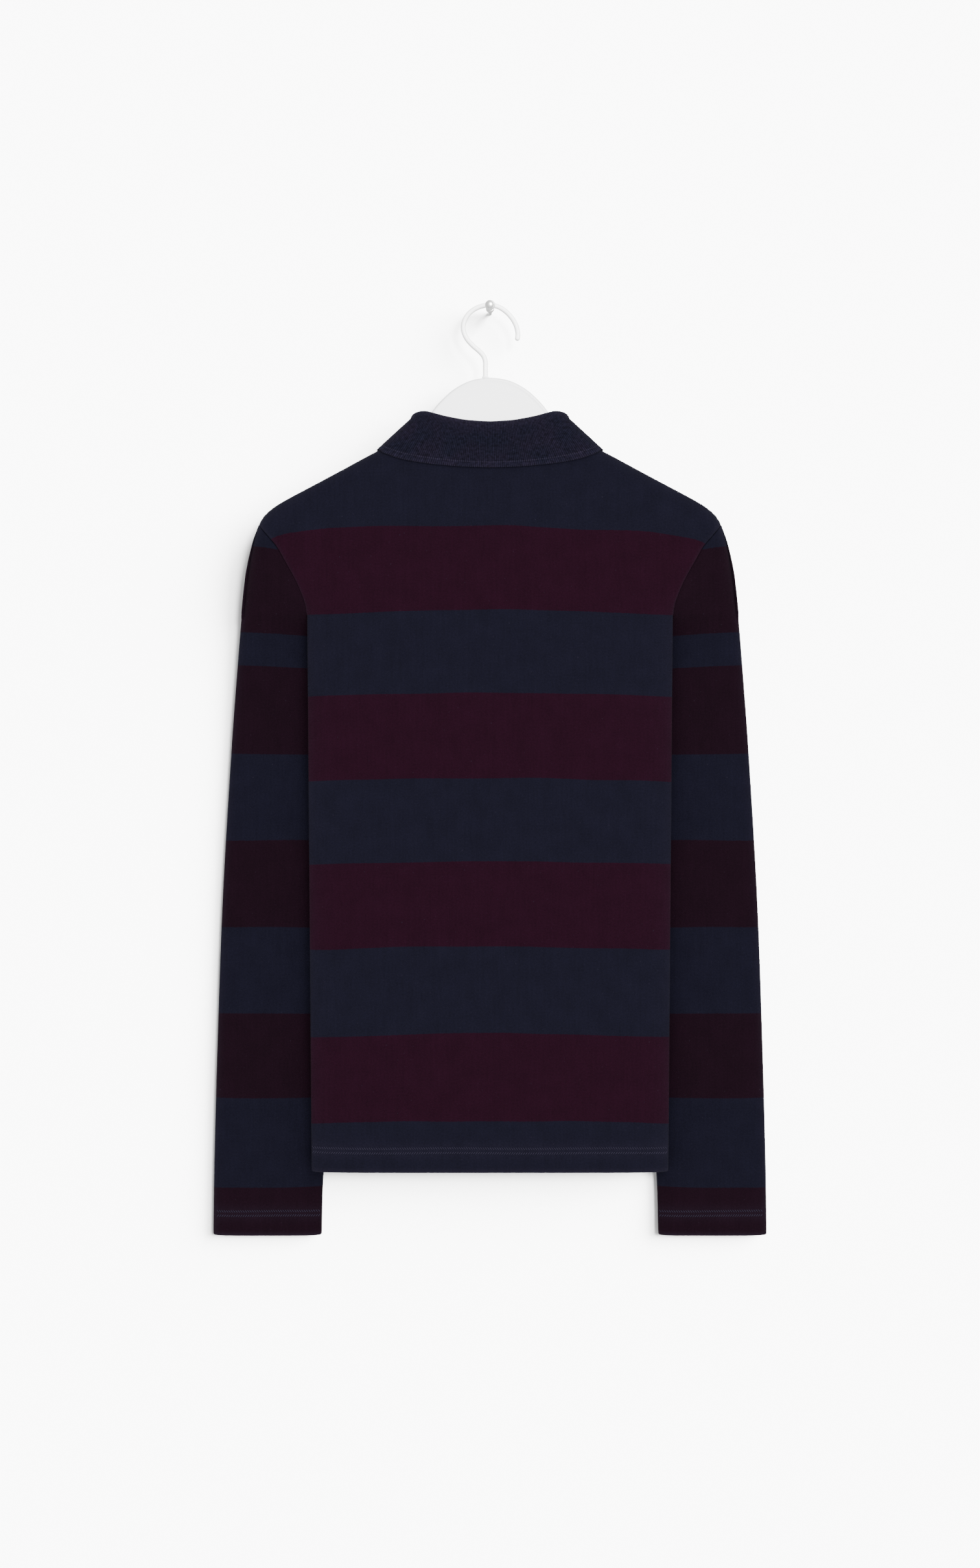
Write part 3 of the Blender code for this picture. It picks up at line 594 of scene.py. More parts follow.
FRONT_CREASES = (
    (-146.0, 132.0, -46.0, 318.0, 15.0, -0.40),
    (150.0, 124.0, 34.0, 290.0, 14.0, -0.35),
    (-100.0, 60.0, -24.0, 205.0, 14.0, 0.35),
    (92.0, 66.0, 26.0, 210.0, 13.0, 0.35),
    (2.0, 196.0, -12.0, 330.0, 12.0, -0.45),
    (-70.0, 646.0, -86.0, 500.0, 17.0, 0.35),
    (14.0, 648.0, 8.0, 530.0, 19.0, -0.35),
    (92.0, 642.0, 112.0, 480.0, 14.0, 0.40),
    (60.0, 330.0, 90.0, 470.0, 22.0, -0.25),
)
COVER_STITCH_ROWS = (616.5 * MM, 620.2 * MM, 623.9 * MM)
HEM_STITCH_DIP = 0.22 * MM
STITCH_DIP_WIDTH = 0.9 * MM
SEAM_PULL = 0.35 * MM
SEAM_SOFTNESS = 1.3 * MM
ARMHOLE_DIP = 0.4 * MM
# How the cut is pulled up near the shoulders, so that the top stripes lie as in the photo
STRIPE_BOW = 3.2 * MM
STRIPE_BOW_HALF_WIDTH = 150 * MM
PULLED_ABOVE = 130 * MM
PULL_FADES = 30 * MM
SEAM_STRIPE_PULL = 5.0 * MM
SEAM_STRIPE_REACH = 6 * MM
TIP_STRIPE_PULL = 2.2 * MM
TIP_STRIPE_START = 140 * MM
TIP_STRIPE_RUN = 28 * MM
RIGHT_STRIPE_PULL = 3.0 * MM
RIGHT_STRIPE_START = 20 * MM
RIGHT_STRIPE_RUN = 60 * MM
# How much lighter the cloth is along an edge, and how far from it: wear, and painted highlight as
# well at the armhole seam, the cover stitching and the sides
ARMHOLE_HIGHLIGHT = (0.32, 1.1 * MM)
HEM_WEAR = (0.6, 2.5 * MM)
STITCH_WEAR_AND_HIGHLIGHT = (0.35, 6 * MM)
SIDE_WEAR_AND_HIGHLIGHT = (0.25, 5 * MM)


def turned_hem_rows(length, turned_up, rows_below, top_of_rows):
    """Rows of cloth from the turned-up edge round the fold and up: drop, and how far inside."""
    rows = []
    inner_rows, fold_rows = 7, 7
    for step in range(inner_rows):
        drop = blend_values(length - turned_up, length - TURN_RADIUS, step / inner_rows)
        rows.append((drop, 2 * TURN_RADIUS))
    for step in range(fold_rows + 1):
        turn = math.pi * (1.0 - step / fold_rows)
        rows.append((length - TURN_RADIUS * (1.0 - math.sin(turn)),
                     TURN_RADIUS * (1.0 - math.cos(turn))))
    for step in range(1, rows_below + 1):
        rows.append((blend_values(length - TURN_RADIUS, top_of_rows, step / rows_below), 0.0))
    return rows


def worn_and_highlit_along(distance, painted_light_and_wear):
    amount, width = painted_light_and_wear
    return amount * bell(distance, width)


def hem_corner(drop, length, radius):
    """How far a corner rounded at the hem draws the side in."""
    below = np.clip(drop - (length - radius), 0.0, radius)
    return radius - np.sqrt(radius ** 2 - below ** 2)


def body_panel(name, facing, neck_drop, creases):
    """One panel of the body: its net, from the hem's turned-up edge to neck and shoulders."""
    columns, rows_above = 188, 58
    low = turned_hem_rows(BODY_LENGTH, HEM_TURNED_UP, 150, UNDERARM_DROP)
    row_drop = np.array([drop for drop, _ in low] + [UNDERARM_DROP] * rows_above)
    row_inside = np.array([inside for _, inside in low] + [0.0] * rows_above)
    shares = [math.sin(math.pi / 2 * step / rows_above) for step in range(1, rows_above + 1)]
    row_share = np.array([0.0] * len(low) + shares)
    last_row = len(row_drop) - 1

    def place(u, v):
        row = np.rint(v * last_row).astype(int)
        share, inside = row_share[row], row_inside[row]
        across = 2.0 * u - 1.0
        station = blend_values(across, np.sin(math.pi / 2 * across), 0.8)
        armhole = armhole_half_width(blend_values(UNDERARM_DROP, SHOULDER_TIP_DROP, share))
        below = body_half_width(row_drop[row]) - hem_corner(row_drop[row], BODY_LENGTH, HEM_CORNER)
        edge = np.where(share > 0.0, armhole, below)
        x = station * edge
        top_x = station * armhole_half_width(SHOULDER_TIP_DROP)
        top = neck_edge_drop(top_x, neck_drop)
        drop = np.where(share > 0.0, blend_values(UNDERARM_DROP, top, share), row_drop[row])
        side_share = np.where(share > 0.0, 1.0, body_half_width(drop) / below)
        depth = body_depth(x * side_share, drop)
        to_armhole = np.where(share > 0.0, edge - np.abs(x), 1.0)
        proud = hung_creases(x, drop, creases) * np.minimum(depth / BODY_HALF_DEPTH, 1.0)
        for stitch_drop in COVER_STITCH_ROWS:
            proud -= HEM_STITCH_DIP * bell(drop - stitch_drop, STITCH_DIP_WIDTH)
        full_seam = np.minimum(depth / (4 * MM), 1.0)
        proud -= ARMHOLE_DIP * full_seam * bell(to_armhole, SEAM_SOFTNESS)
        away_from_tip = part_way(to_armhole, 12 * MM)
        outline = SEAM_PULL * away_from_tip * bell(depth, SEAM_SOFTNESS)
        shown_x = x - np.sign(x) * outline - np.sign(x) * inside * np.exp(-depth / (2 * MM))
        shown_drop = drop + np.where(share > 0.5, outline, 0.0)
        reach = np.maximum(depth + proud - inside, SEAM_GAP / 2)
        y = HANGER_PLANE_Y + facing * reach
        turned = np.where(inside > TURN_RADIUS, 2 * (BODY_LENGTH - drop), 0.0)
        pulled_up = part_way(PULLED_ABOVE - drop, PULL_FADES)
        pull = SEAM_STRIPE_PULL * np.exp(-to_armhole / SEAM_STRIPE_REACH) * (share > 0.0)
        pull = pull + TIP_STRIPE_PULL * part_way(np.abs(x) - TIP_STRIPE_START, TIP_STRIPE_RUN)
        pull = pull + RIGHT_STRIPE_PULL * part_way(x - RIGHT_STRIPE_START, RIGHT_STRIPE_RUN)
        bow = STRIPE_BOW * (x / STRIPE_BOW_HALF_WIDTH) ** 2
        cut_drop = drop + turned - bow - pull * pulled_up
        painted_light_and_wear = worn_and_highlit_along(to_armhole, ARMHOLE_HIGHLIGHT) + worn_and_highlit_along(BODY_LENGTH - drop, HEM_WEAR)
        painted_light_and_wear += worn_and_highlit_along(drop - COVER_STITCH_ROWS[1], STITCH_WEAR_AND_HIGHLIGHT)
        painted_light_and_wear += worn_and_highlit_along(depth, SIDE_WEAR_AND_HIGHLIGHT)
        return (shown_x, y, SHOULDER_Z - shown_drop), (x, cut_drop), np.clip(painted_light_and_wear, 0.0, 1.0)

    return cloth_sheet(name, columns, last_row, place, outward=facing < 0)


back_net = body_panel("back_panel", -1, BACK_NECK_DROP, BACK_CREASES)
back = finished_piece("back_panel", back_net, body_jersey)
thin_at_fold(back, thicken(back, JERSEY), depths_from_ridge(back))
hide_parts("back")

front_net = body_panel("front_panel", 1, FRONT_NECK_DROP, FRONT_CREASES)
slit = bmesh.new()
slit.from_mesh(front_net)
in_slit = [face for face in slit.faces
           if abs(face.calc_center_median().x) < SLIT_HALF_WIDTH
           and SHOULDER_Z - face.calc_center_median().z < SLIT_BOTTOM_DROP]
bmesh.ops.delete(slit, geom=in_slit, context='FACES')
slit.to_mesh(front_net)
slit.free()
front = finished_piece("front_panel", front_net, body_jersey)
thin_at_fold(front, thicken(front, JERSEY), depths_from_ridge(front))
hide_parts("front")


# Sleeves
# Long set-in sleeves of the same jersey, each sewn to one tube and set into its armhole with
# the seam turned inside. They hang behind the body, with a narrow cuff turned up like the hem.
# Their jersey is given darker navy and plum than the body's, as painted shade for hanging
# behind it.
CUFF_ROLL = 1.2 * MM
SLEEVE_LENGTH_DROP = SHOULDER_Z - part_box("sleeve_left")[0].z + CUFF_ROLL
SLEEVE_HALF_DEPTH = 5 * MM
SLEEVE_FULLNESS = 2.0 * MM
SLEEVE_CLEARANCE = 0.9 * MM
WALL_CLEARANCE = 1.0 * MM
CUFF_TURNED_UP = 24 * MM
CUFF_STITCH_ROWS = (674.0 * MM, 677.7 * MM, 681.4 * MM)
CUFF_CORNER = 2.0 * MM
SEAM_ALLOWANCE = 3.0 * MM
UNDERARM_TUCK = 2.0 * MM
TIP_OVERLAP = 1.5 * MM
CLOSING_LENGTH = 50 * MM
SLEEVE_WIDTH_DROP = 300 * MM
FAR_LAYER_CUT = 480 * MM
# How the stripes lean across the sleeve, level at one drop and steeper on the cap
FLAT_SLEEVE_WIDTH = 90 * MM
STRIPE_LEAN = 3.2 * MM
LEVEL_STRIPES_DROP = 480 * MM
STRIPE_LEAN_RUN = 300 * MM
CAP_STRIPE_LEAN = 10 * MM
CAP_LEAN_BELOW = 150 * MM
CAP_LEAN_RUN = 50 * MM
CUFF_STITCH_DIP = 0.2 * MM
SLEEVE_SEAM_DIP = 0.3 * MM
CUFF_WEAR = (0.7, 2.5 * MM)
# Lighter along the sleeve's outer fold: wear, and painted highlight where the fold turns
FOLD_WEAR_AND_HIGHLIGHT = (0.3, 4 * MM)
SLEEVE_STRIPES = (97.0, 172.1, 200.4, 276.6, 352.4, 428.4, 504.1, 577.9, 655.9)
# Darker copies of the body's navy and plum: painted shade on the sleeves behind the body
SHADED_SLEEVE_NAVY = (0.0106, 0.0098, 0.0222, 1.0)
SHADED_SLEEVE_PLUM = (0.0144, 0.0041, 0.0106, 1.0)

# Inner edge of the sleeve, hidden behind the body, in mm: drop, half width, depth coordinate
SLEEVE_INNER_FOLD = (
    (157.4, 158.4, -22.0),
    (161.0, 157.2, -17.8),
    (166.0, 155.6, -14.0),
    (173.0, 152.6, -11.3),
    (190.0, 145.0, -9.0),
    (230.0, 131.0, -7.2),
    (290.0, 122.0, -7.0),
    (404.0, 122.0, -7.0),
    (520.0, 131.5, -7.0),
    (639.5, 145.0, -7.0),
    (696.5, 147.0, -7.0),
)
# Soft creases on each sleeve, in mm: start half width, start drop, end half width, end drop,
# width, rise
LEFT_SLEEVE_CREASES = (
    (196.0, 110.0, 206.0, 260.0, 8.0, -0.35),
    (210.0, 300.0, 176.0, 420.0, 9.0, 0.30),
    (182.0, 430.0, 214.0, 560.0, 11.0, -0.30),
    (226.0, 540.0, 196.0, 690.0, 10.0, 0.30),
    (168.0, 600.0, 180.0, 700.0, 7.0, -0.30),
)
RIGHT_SLEEVE_CREASES = (
    (192.0, 104.0, 202.0, 240.0, 9.0, -0.30),
    (216.0, 250.0, 186.0, 400.0, 10.0, 0.30),
    (176.0, 380.0, 206.0, 520.0, 10.0, -0.35),
    (230.0, 500.0, 204.0, 650.0, 9.0, 0.30),
    (160.0, 570.0, 178.0, 698.0, 8.0, 0.25),
)
inner_fold_x = curve_through(SLEEVE_INNER_FOLD)
inner_fold_y = curve_through(SLEEVE_INNER_FOLD, 2)
shaded_sleeve_jersey = striped_jersey("shaded_sleeve_jersey", SLEEVE_STRIPES, SHADED_SLEEVE_NAVY, SHADED_SLEEVE_PLUM)


def sleeve(name, node, side, creases):
    """A tube from the turned-up cuff to the underarm, then a cap open at its armhole seam."""
    layer_columns, rows_above, allowance_columns = 46, 44, 3
    low = turned_hem_rows(SLEEVE_LENGTH_DROP, CUFF_TURNED_UP, 172, UNDERARM_DROP)
    shares = [math.sin(math.pi / 2 * step / rows_above) for step in range(1, rows_above + 1)]
    high = [blend_values(UNDERARM_DROP, SHOULDER_TIP_DROP, share) for share in shares]
    row_drop = np.array([drop for drop, _ in low] + high)
    row_inside = np.array([inside for _, inside in low] + [0.0] * rows_above)
    last_row = len(row_drop) - 1
    layer_depths = []

    def place(u, v):
        row = np.rint(v * last_row).astype(int)
        drop, inside = row_drop[row], row_inside[row]
        far = u > 0.5
        round_the_layer = 1.0 - np.abs(2.0 * u - 1.0)
        tucked_share = allowance_columns / layer_columns
        tucked = np.clip(1.0 - round_the_layer / tucked_share, 0.0, 1.0)
        along = part_way(round_the_layer - tucked_share, 1.0 - tucked_share)
        above = drop < UNDERARM_DROP
        closing = part_way(drop - UNDERARM_DROP, CLOSING_LENGTH)
        corner = hem_corner(drop, SLEEVE_LENGTH_DROP, CUFF_CORNER)
        fullness = SLEEVE_FULLNESS * part_way(drop - SHOULDER_TIP_DROP, 40 * MM)
        outer_x = outer_fold_x(drop) + fullness - inside - corner
        seam_x = armhole_half_width(drop)
        inner_x = np.where(above, seam_x + SEAM_GAP, inner_fold_x(drop) + inside + corner)
        inner_y = np.where(above, HANGER_PLANE_Y, inner_fold_y(drop))
        seam_depth = body_depth(seam_x, drop) / np.maximum(ridge_factor(seam_x, drop), 0.05)
        q = blend_values(1.0 - (1.0 - along) ** 1.8, (1.0 - np.cos(math.pi * along)) / 2, closing)
        x = blend_values(inner_x, outer_x, q)
        middle_y = blend_values(inner_y, outer_fold_y(drop), q)
        cap_rounding = np.where(along >= 1.0, 0.0, ridge_factor(x, drop))
        cap_depth = blend_values(seam_depth, SLEEVE_HALF_DEPTH * 1.3, q) * cap_rounding
        tube_depth = SLEEVE_HALF_DEPTH * 1.3 * q * np.sqrt(np.maximum(1.0 - q ** 6, 0.0))
        flat_depth = SLEEVE_HALF_DEPTH * np.sqrt(np.maximum(1.0 - np.abs(2 * q - 1) ** 6, 0.0))
        depth = blend_values(np.where(above, cap_depth, tube_depth), flat_depth, closing)
        proud = hung_creases(x, drop, creases) * np.minimum(depth / SLEEVE_HALF_DEPTH, 1.0)
        for stitch_drop in CUFF_STITCH_ROWS:
            proud -= CUFF_STITCH_DIP * bell(drop - stitch_drop, STITCH_DIP_WIDTH)
        to_seam = np.where(above, x - inner_x, 1.0)
        full_seam = np.minimum(seam_depth / (4 * MM), 1.0) * np.minimum(depth / (3 * MM), 1.0)
        proud -= SLEEVE_SEAM_DIP * full_seam * bell(to_seam, SEAM_SOFTNESS)
        depth = np.maximum(depth + np.where(along < 1.0, proud, 0.0) - inside, 0.0)
        reach = part_way(UNDERARM_DROP - drop, 20 * MM) * tucked
        near_underarm = bell(drop - UNDERARM_DROP, 5 * MM)
        x = x - SEAM_ALLOWANCE * reach - UNDERARM_TUCK * near_underarm * (1.0 - along) ** 3
        tucked_in = 1.5 * MM * np.minimum(2.5 * reach, 1.0)
        depth = np.maximum(depth - tucked_in, 0.05 * MM * (along < 1.0))
        near_y = middle_y - depth
        behind_body = HANGER_PLANE_Y + body_depth(x, drop) + SLEEVE_CLEARANCE
        covered = ~above & (x < body_half_width(drop) + 1.5 * MM)
        near_y = np.where(covered, np.maximum(near_y, np.minimum(behind_body, middle_y)), near_y)
        y = np.where(far, np.minimum(middle_y + depth, -WALL_CLEARANCE), near_y)
        inward = (outer_fold_x(drop) - x) / FLAT_SLEEVE_WIDTH
        to_level = np.clip((LEVEL_STRIPES_DROP - drop) / STRIPE_LEAN_RUN, -0.6, 1.0)
        lean = STRIPE_LEAN * inward * to_level
        lean = lean + CAP_STRIPE_LEAN * inward * part_way(CAP_LEAN_BELOW - drop, CAP_LEAN_RUN)
        turned = np.where(inside > TURN_RADIUS, 2 * (SLEEVE_LENGTH_DROP - drop), 0.0)
        cut_across = np.where(far, FAR_LAYER_CUT - x, x)
        painted_light_and_wear = worn_and_highlit_along(SLEEVE_LENGTH_DROP - drop, CUFF_WEAR)
        painted_light_and_wear += worn_and_highlit_along(drop - CUFF_STITCH_ROWS[1], STITCH_WEAR_AND_HIGHLIGHT)
        painted_light_and_wear += worn_and_highlit_along(outer_x - x, FOLD_WEAR_AND_HIGHLIGHT)
        cut = (cut_across, drop + turned - lean)
        overlap = TIP_OVERLAP * np.exp(-(drop - SHOULDER_TIP_DROP) / (3 * MM))
        layer_depths.append(np.abs(y - middle_y) + inside)
        return (side * x, y, SHOULDER_Z - drop + overlap), cut, np.clip(painted_light_and_wear, 0.0, 1.0)

    net = cloth_sheet(name, 2 * layer_columns, last_row, place, outward=side > 0)
    net.attributes.new("depth", 'FLOAT', 'POINT').data.foreach_set("value", layer_depths[0])
    piece = finished_piece(name, net, shaded_sleeve_jersey, merge=0.01 * MM)
    depths = [point.value for point in net.attributes["depth"].data]
    thin_at_fold(piece, thicken(piece, JERSEY), depths)
    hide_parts(node)
    flat_width = outer_fold_x(SLEEVE_WIDTH_DROP) - inner_fold_x(SLEEVE_WIDTH_DROP)
    return piece


left_sleeve = sleeve("left_sleeve", "sleeve_left", -1, LEFT_SLEEVE_CREASES)
right_sleeve = sleeve("right_sleeve", "sleeve_right", 1, RIGHT_SLEEVE_CREASES)


# Collar
# One flat-knit strip, ribbed across its width and finished with a closer-knit edge. It is sewn
# to the neck by its stand, folds over along the top and falls outside, to a point each side.
RIB_CLOTH = 1.3 * MM
COLLAR_LIFT = 1.6 * MM
COLLAR_INSET = 1.6 * MM
COLLAR_SEAM_GAP = 0.4 * MM
COLLAR_STANDS_OUT = 2.3 * MM
FOLD_HALF_WIDTH = 2.5 * MM
RIB_PITCH = 1.52 * MM
RIB_RISE = 0.10 * MM
EDGE_BAND = 4.6 * MM
BAND_GROOVE = 0.22 * MM
BAND_GROOVE_WIDTH = 0.7 * MM
EDGE_ROLL = 0.14 * MM
EDGE_ROLL_INSET = 1.0 * MM
EDGE_ROLL_WIDTH = 1.2 * MM
# Lighter bands on the collar: wear along the fold and the edge, with a painted highlight on the
# fold's crest
COLLAR_FOLD_WEAR_AND_HIGHLIGHT = (0.55, 5 * MM)
COLLAR_FOLD_HIGHLIGHT = (0.5, 1 * MM)
COLLAR_EDGE_WEAR = (0.45, 1.3 * MM)
COLLAR_NAVY = (0.0112, 0.0108, 0.0236, 1.0)
COLLAR_BLOOM = (0.0150, 0.0118, 0.0256, 1.0)
COLLAR_WORN_AND_HIGHLIGHT = (0.085, 0.072, 0.120, 1.0)

# Half the strip, from the back centre round to its front end, in mm but for facing, which is
# -1 on the back, 0 on the shoulder ridge and 1 on the front
COLLAR_STATIONS = (
    # facing, seam x, fold x, fold depth, fold drop, edge x, edge drop
    (-1.0, 0.0, 0.0, 10.6, -9.6, 0.0, 30.0),
    (-1.0, 20.0, 20.0, 10.6, -10.8, 25.0, 29.2),
    (-1.0, 40.0, 40.0, 10.2, -14.6, 55.0, 26.4),
    (-1.0, 55.0, 55.0, 8.8, -18.6, 78.5, 22.2),
    (-1.0, 62.5, 63.5, 5.2, -18.0, 92.2, 17.6),
    (0.0, 66.3, 67.0, 0.0, -15.4, 98.4, 16.2),
    (1.0, 62.5, 64.5, 5.2, -8.0, 95.0, 22.4),
    (1.0, 54.0, 57.5, 9.0, 9.0, 87.0, 42.0),
    (1.0, 40.0, 43.5, 10.2, 29.0, 79.0, 68.0),
    (1.0, 26.0, 28.5, 10.5, 43.5, 69.0, 92.0),
    (1.0, 14.0, 15.0, 10.6, 52.5, 57.0, 112.0),
)


def clear_of_body(place, clear):
    """Move a point beside or above the body out until it is clear of the cloth's face."""
    x, drop = abs(place.x), SHOULDER_Z - place.z
    facing = math.copysign(1.0, place.y - HANGER_PLANE_Y)
    depth = abs(place.y - HANGER_PLANE_Y)
    ridge = float(neck_edge_drop(x, 0.0))
    if x < NECK_HALF_WIDTH or drop > ridge + 1.5 * RIDGE_ROUNDING:
        if drop > ridge:
            depth = max(depth, float(body_depth(x, drop)) + clear)
        return Vector((place.x, HANGER_PLANE_Y + facing * depth, place.z))
    samples = 60
    profile_drop = ridge + 2 * RIDGE_ROUNDING * np.linspace(0.0, 1.0, samples) ** 2
    profile_depth = body_depth(np.full(samples, x), profile_drop)
    gaps = np.hypot(depth - profile_depth, drop - profile_drop)
    nearest = int(np.argmin(gaps))
    buried = drop > ridge and depth < body_depth(x, drop)
    if gaps[nearest] >= clear and not buried:
        return place
    before, after = max(nearest - 1, 0), min(nearest + 1, samples - 1)
    out = Vector((0.0, profile_drop[after] - profile_drop[before],
                  profile_depth[after] - profile_depth[before])).normalized() * clear
    return Vector((place.x, HANGER_PLANE_Y + facing * (profile_depth[nearest] + out.y),
                   SHOULDER_Z - profile_drop[nearest] + out.z))


def collar_column(side, facing, seam_x, fold_x, fold_depth, fold_drop, edge_x, edge_drop):
    """Points up the stand, over the fold and down the fall at one place along the collar."""
    neck_drop = BACK_NECK_DROP if facing < 0 else FRONT_NECK_DROP
    sideways = max(1.0 - abs(facing), (seam_x / NECK_HALF_WIDTH) ** 6)
    outer_x = min(seam_x + COLLAR_STANDS_OUT * sideways, NECK_HALF_WIDTH)
    seam_drop = float(neck_edge_drop(outer_x, neck_drop)) - COLLAR_SEAM_GAP
    seam_depth = float(body_depth(seam_x, neck_edge_drop(seam_x, neck_drop))) - COLLAR_INSET
    plane = HANGER_PLANE_Y
    seam = Vector((side * seam_x, plane + facing * max(seam_depth, 0.0), SHOULDER_Z - seam_drop))
    fold = Vector((side * fold_x, plane + facing * fold_depth, SHOULDER_Z - fold_drop))
    edge_depth = float(body_depth(edge_x, edge_drop))
    edge = Vector((side * edge_x, plane + facing * edge_depth, SHOULDER_Z - edge_drop))
    edge = clear_of_body(edge, COLLAR_LIFT)
    outward = Vector((side * sideways, facing, 0.0)).normalized() * FOLD_HALF_WIDTH
    below_fold = Vector((0.0, 0.0, -1.2 * FOLD_HALF_WIDTH))
    stand_top = fold - outward + below_fold
    fall_top = fold + outward + below_fold
    column = [seam, seam.lerp(stand_top, 0.5), stand_top]
    column += [fold - outward * 0.5, fold + outward * 0.5, fall_top]
    fall_steps = 6
    for step in range(1, fall_steps):
        place = fall_top.lerp(edge, step / fall_steps)
        column.append(clear_of_body(place, COLLAR_LIFT))
    return column + [edge]


def collar_columns():
    """The whole strip from one front end to the other, as a coarse net of points."""
    columns_per_station, over_ridge = 2, 4
    half = []
    for at in range(len(COLLAR_STATIONS) - 1):
        here, after = COLLAR_STATIONS[at], COLLAR_STATIONS[at + 1]
        columns = over_ridge if here[0] * after[0] <= 0.0 else columns_per_station
        half += [at + column / columns for column in range(columns)]
    half.append(float(len(COLLAR_STATIONS) - 1))
    keyed = [(at / MM,) + row for at, row in enumerate(COLLAR_STATIONS)]
    readers = [curve_through(keyed, column) for column in range(1, 8)]
    rows = []
    for at in half:
        values = [float(reader(at)) for reader in readers]
        values[0] = min(max(values[0] / MM, -1.0), 1.0)
        rows.append(values)
    net = [collar_column(-1, *values) for values in reversed(rows[1:])]
    net += [collar_column(1, *values) for values in rows]
    return np.array([[tuple(point) for point in column] for column in net])


def smooth_weights(at, count):
    """The four neighbours of a fractional place in a row of points, and their shares."""
    low = np.clip(np.floor(at).astype(int), 0, count - 2)
    t = at - low
    shares = (-0.5 * t + t ** 2 - 0.5 * t ** 3, 1 - 2.5 * t ** 2 + 1.5 * t ** 3,
              0.5 * t + 2 * t ** 2 - 1.5 * t ** 3, -0.5 * t ** 2 + 0.5 * t ** 3)
    return [(np.clip(low + step - 1, 0, count - 1), share) for step, share in enumerate(shares)]


def net_point(net, along, down):
    """A point of the smooth surface through a coarse net."""
    total = np.zeros((len(along), 3))
    for column, column_share in smooth_weights(along, net.shape[0]):
        for row, row_share in smooth_weights(down, net.shape[1]):
            total += net[column, row] * (column_share * row_share)[:, None]
    return total


coarse_collar = collar_columns()
RUN_SAMPLES, HEIGHT_SAMPLES = 400, 200
collar_steps = np.linspace(0.0, coarse_collar.shape[0] - 1.0, RUN_SAMPLES)
FOLD_ROW, EDGE_ROW = 3.5, coarse_collar.shape[1] - 1.0


def path_length(points):
    return np.concatenate(([0.0], np.cumsum(np.linalg.norm(np.diff(points, axis=0), axis=1))))


fold_run = path_length(net_point(coarse_collar, collar_steps, np.full(RUN_SAMPLES, FOLD_ROW)))
edge_run = path_length(net_point(coarse_collar, collar_steps, np.full(RUN_SAMPLES, EDGE_ROW)))
middle_run = (fold_run + edge_run) / 2
COLLAR_LENGTH = middle_run[-1]
RIBS = round(COLLAR_LENGTH / RIB_PITCH)
down_steps = np.linspace(0.0, EDGE_ROW, HEIGHT_SAMPLES)
centre_steps = np.full(HEIGHT_SAMPLES, (coarse_collar.shape[0] - 1) / 2)
centre_column = net_point(coarse_collar, centre_steps, down_steps)
height_run = path_length(centre_column)
COLLAR_WIDTH = height_run[-1]


def collar_place(u, v):
    """Where each point of the strip lies, with its ribs raised across it."""
    along = np.interp(u * COLLAR_LENGTH, middle_run, collar_steps)
    down = np.interp(v * COLLAR_WIDTH, height_run, down_steps)
    step = 0.02
    here = net_point(coarse_collar, along, down)
    last_column, last_row = coarse_collar.shape[0] - 1.0, EDGE_ROW
    ahead = net_point(coarse_collar, np.minimum(along + step, last_column), down)
    back_off = net_point(coarse_collar, np.maximum(along - step, 0.0), down)
    lower = net_point(coarse_collar, along, np.minimum(down + step, last_row))
    upper = net_point(coarse_collar, along, np.maximum(down - step, 0.0))
    normal = np.cross(lower - upper, ahead - back_off)
    normal /= np.maximum(np.linalg.norm(normal, axis=1), 1e-12)[:, None]
    to_edge = (1.0 - v) * COLLAR_WIDTH
    ribs = np.cos(2 * math.pi * RIBS * u) * RIB_RISE * np.where(to_edge < EDGE_BAND, 0.8, 1.0)
    band_groove = BAND_GROOVE * bell(to_edge - EDGE_BAND, BAND_GROOVE_WIDTH)
    edge_roll = EDGE_ROLL * bell(to_edge - EDGE_ROLL_INSET, EDGE_ROLL_WIDTH)
    rise = ribs - band_groove - edge_roll
    points = here + normal * rise[:, None]
    # Lighter along the fold, with a narrow painted highlight on its crest, and worn along the outer
    # edge
    from_fold = np.abs(v * COLLAR_WIDTH - np.interp(FOLD_ROW, down_steps, height_run))
    painted_light_and_wear = worn_and_highlit_along(from_fold, COLLAR_FOLD_WEAR_AND_HIGHLIGHT) + worn_and_highlit_along(from_fold, COLLAR_FOLD_HIGHLIGHT)
    painted_light_and_wear += worn_and_highlit_along(to_edge, COLLAR_EDGE_WEAR)
    return points.T, (u * COLLAR_LENGTH, v * COLLAR_WIDTH), np.clip(painted_light_and_wear, 0.0, 1.0)


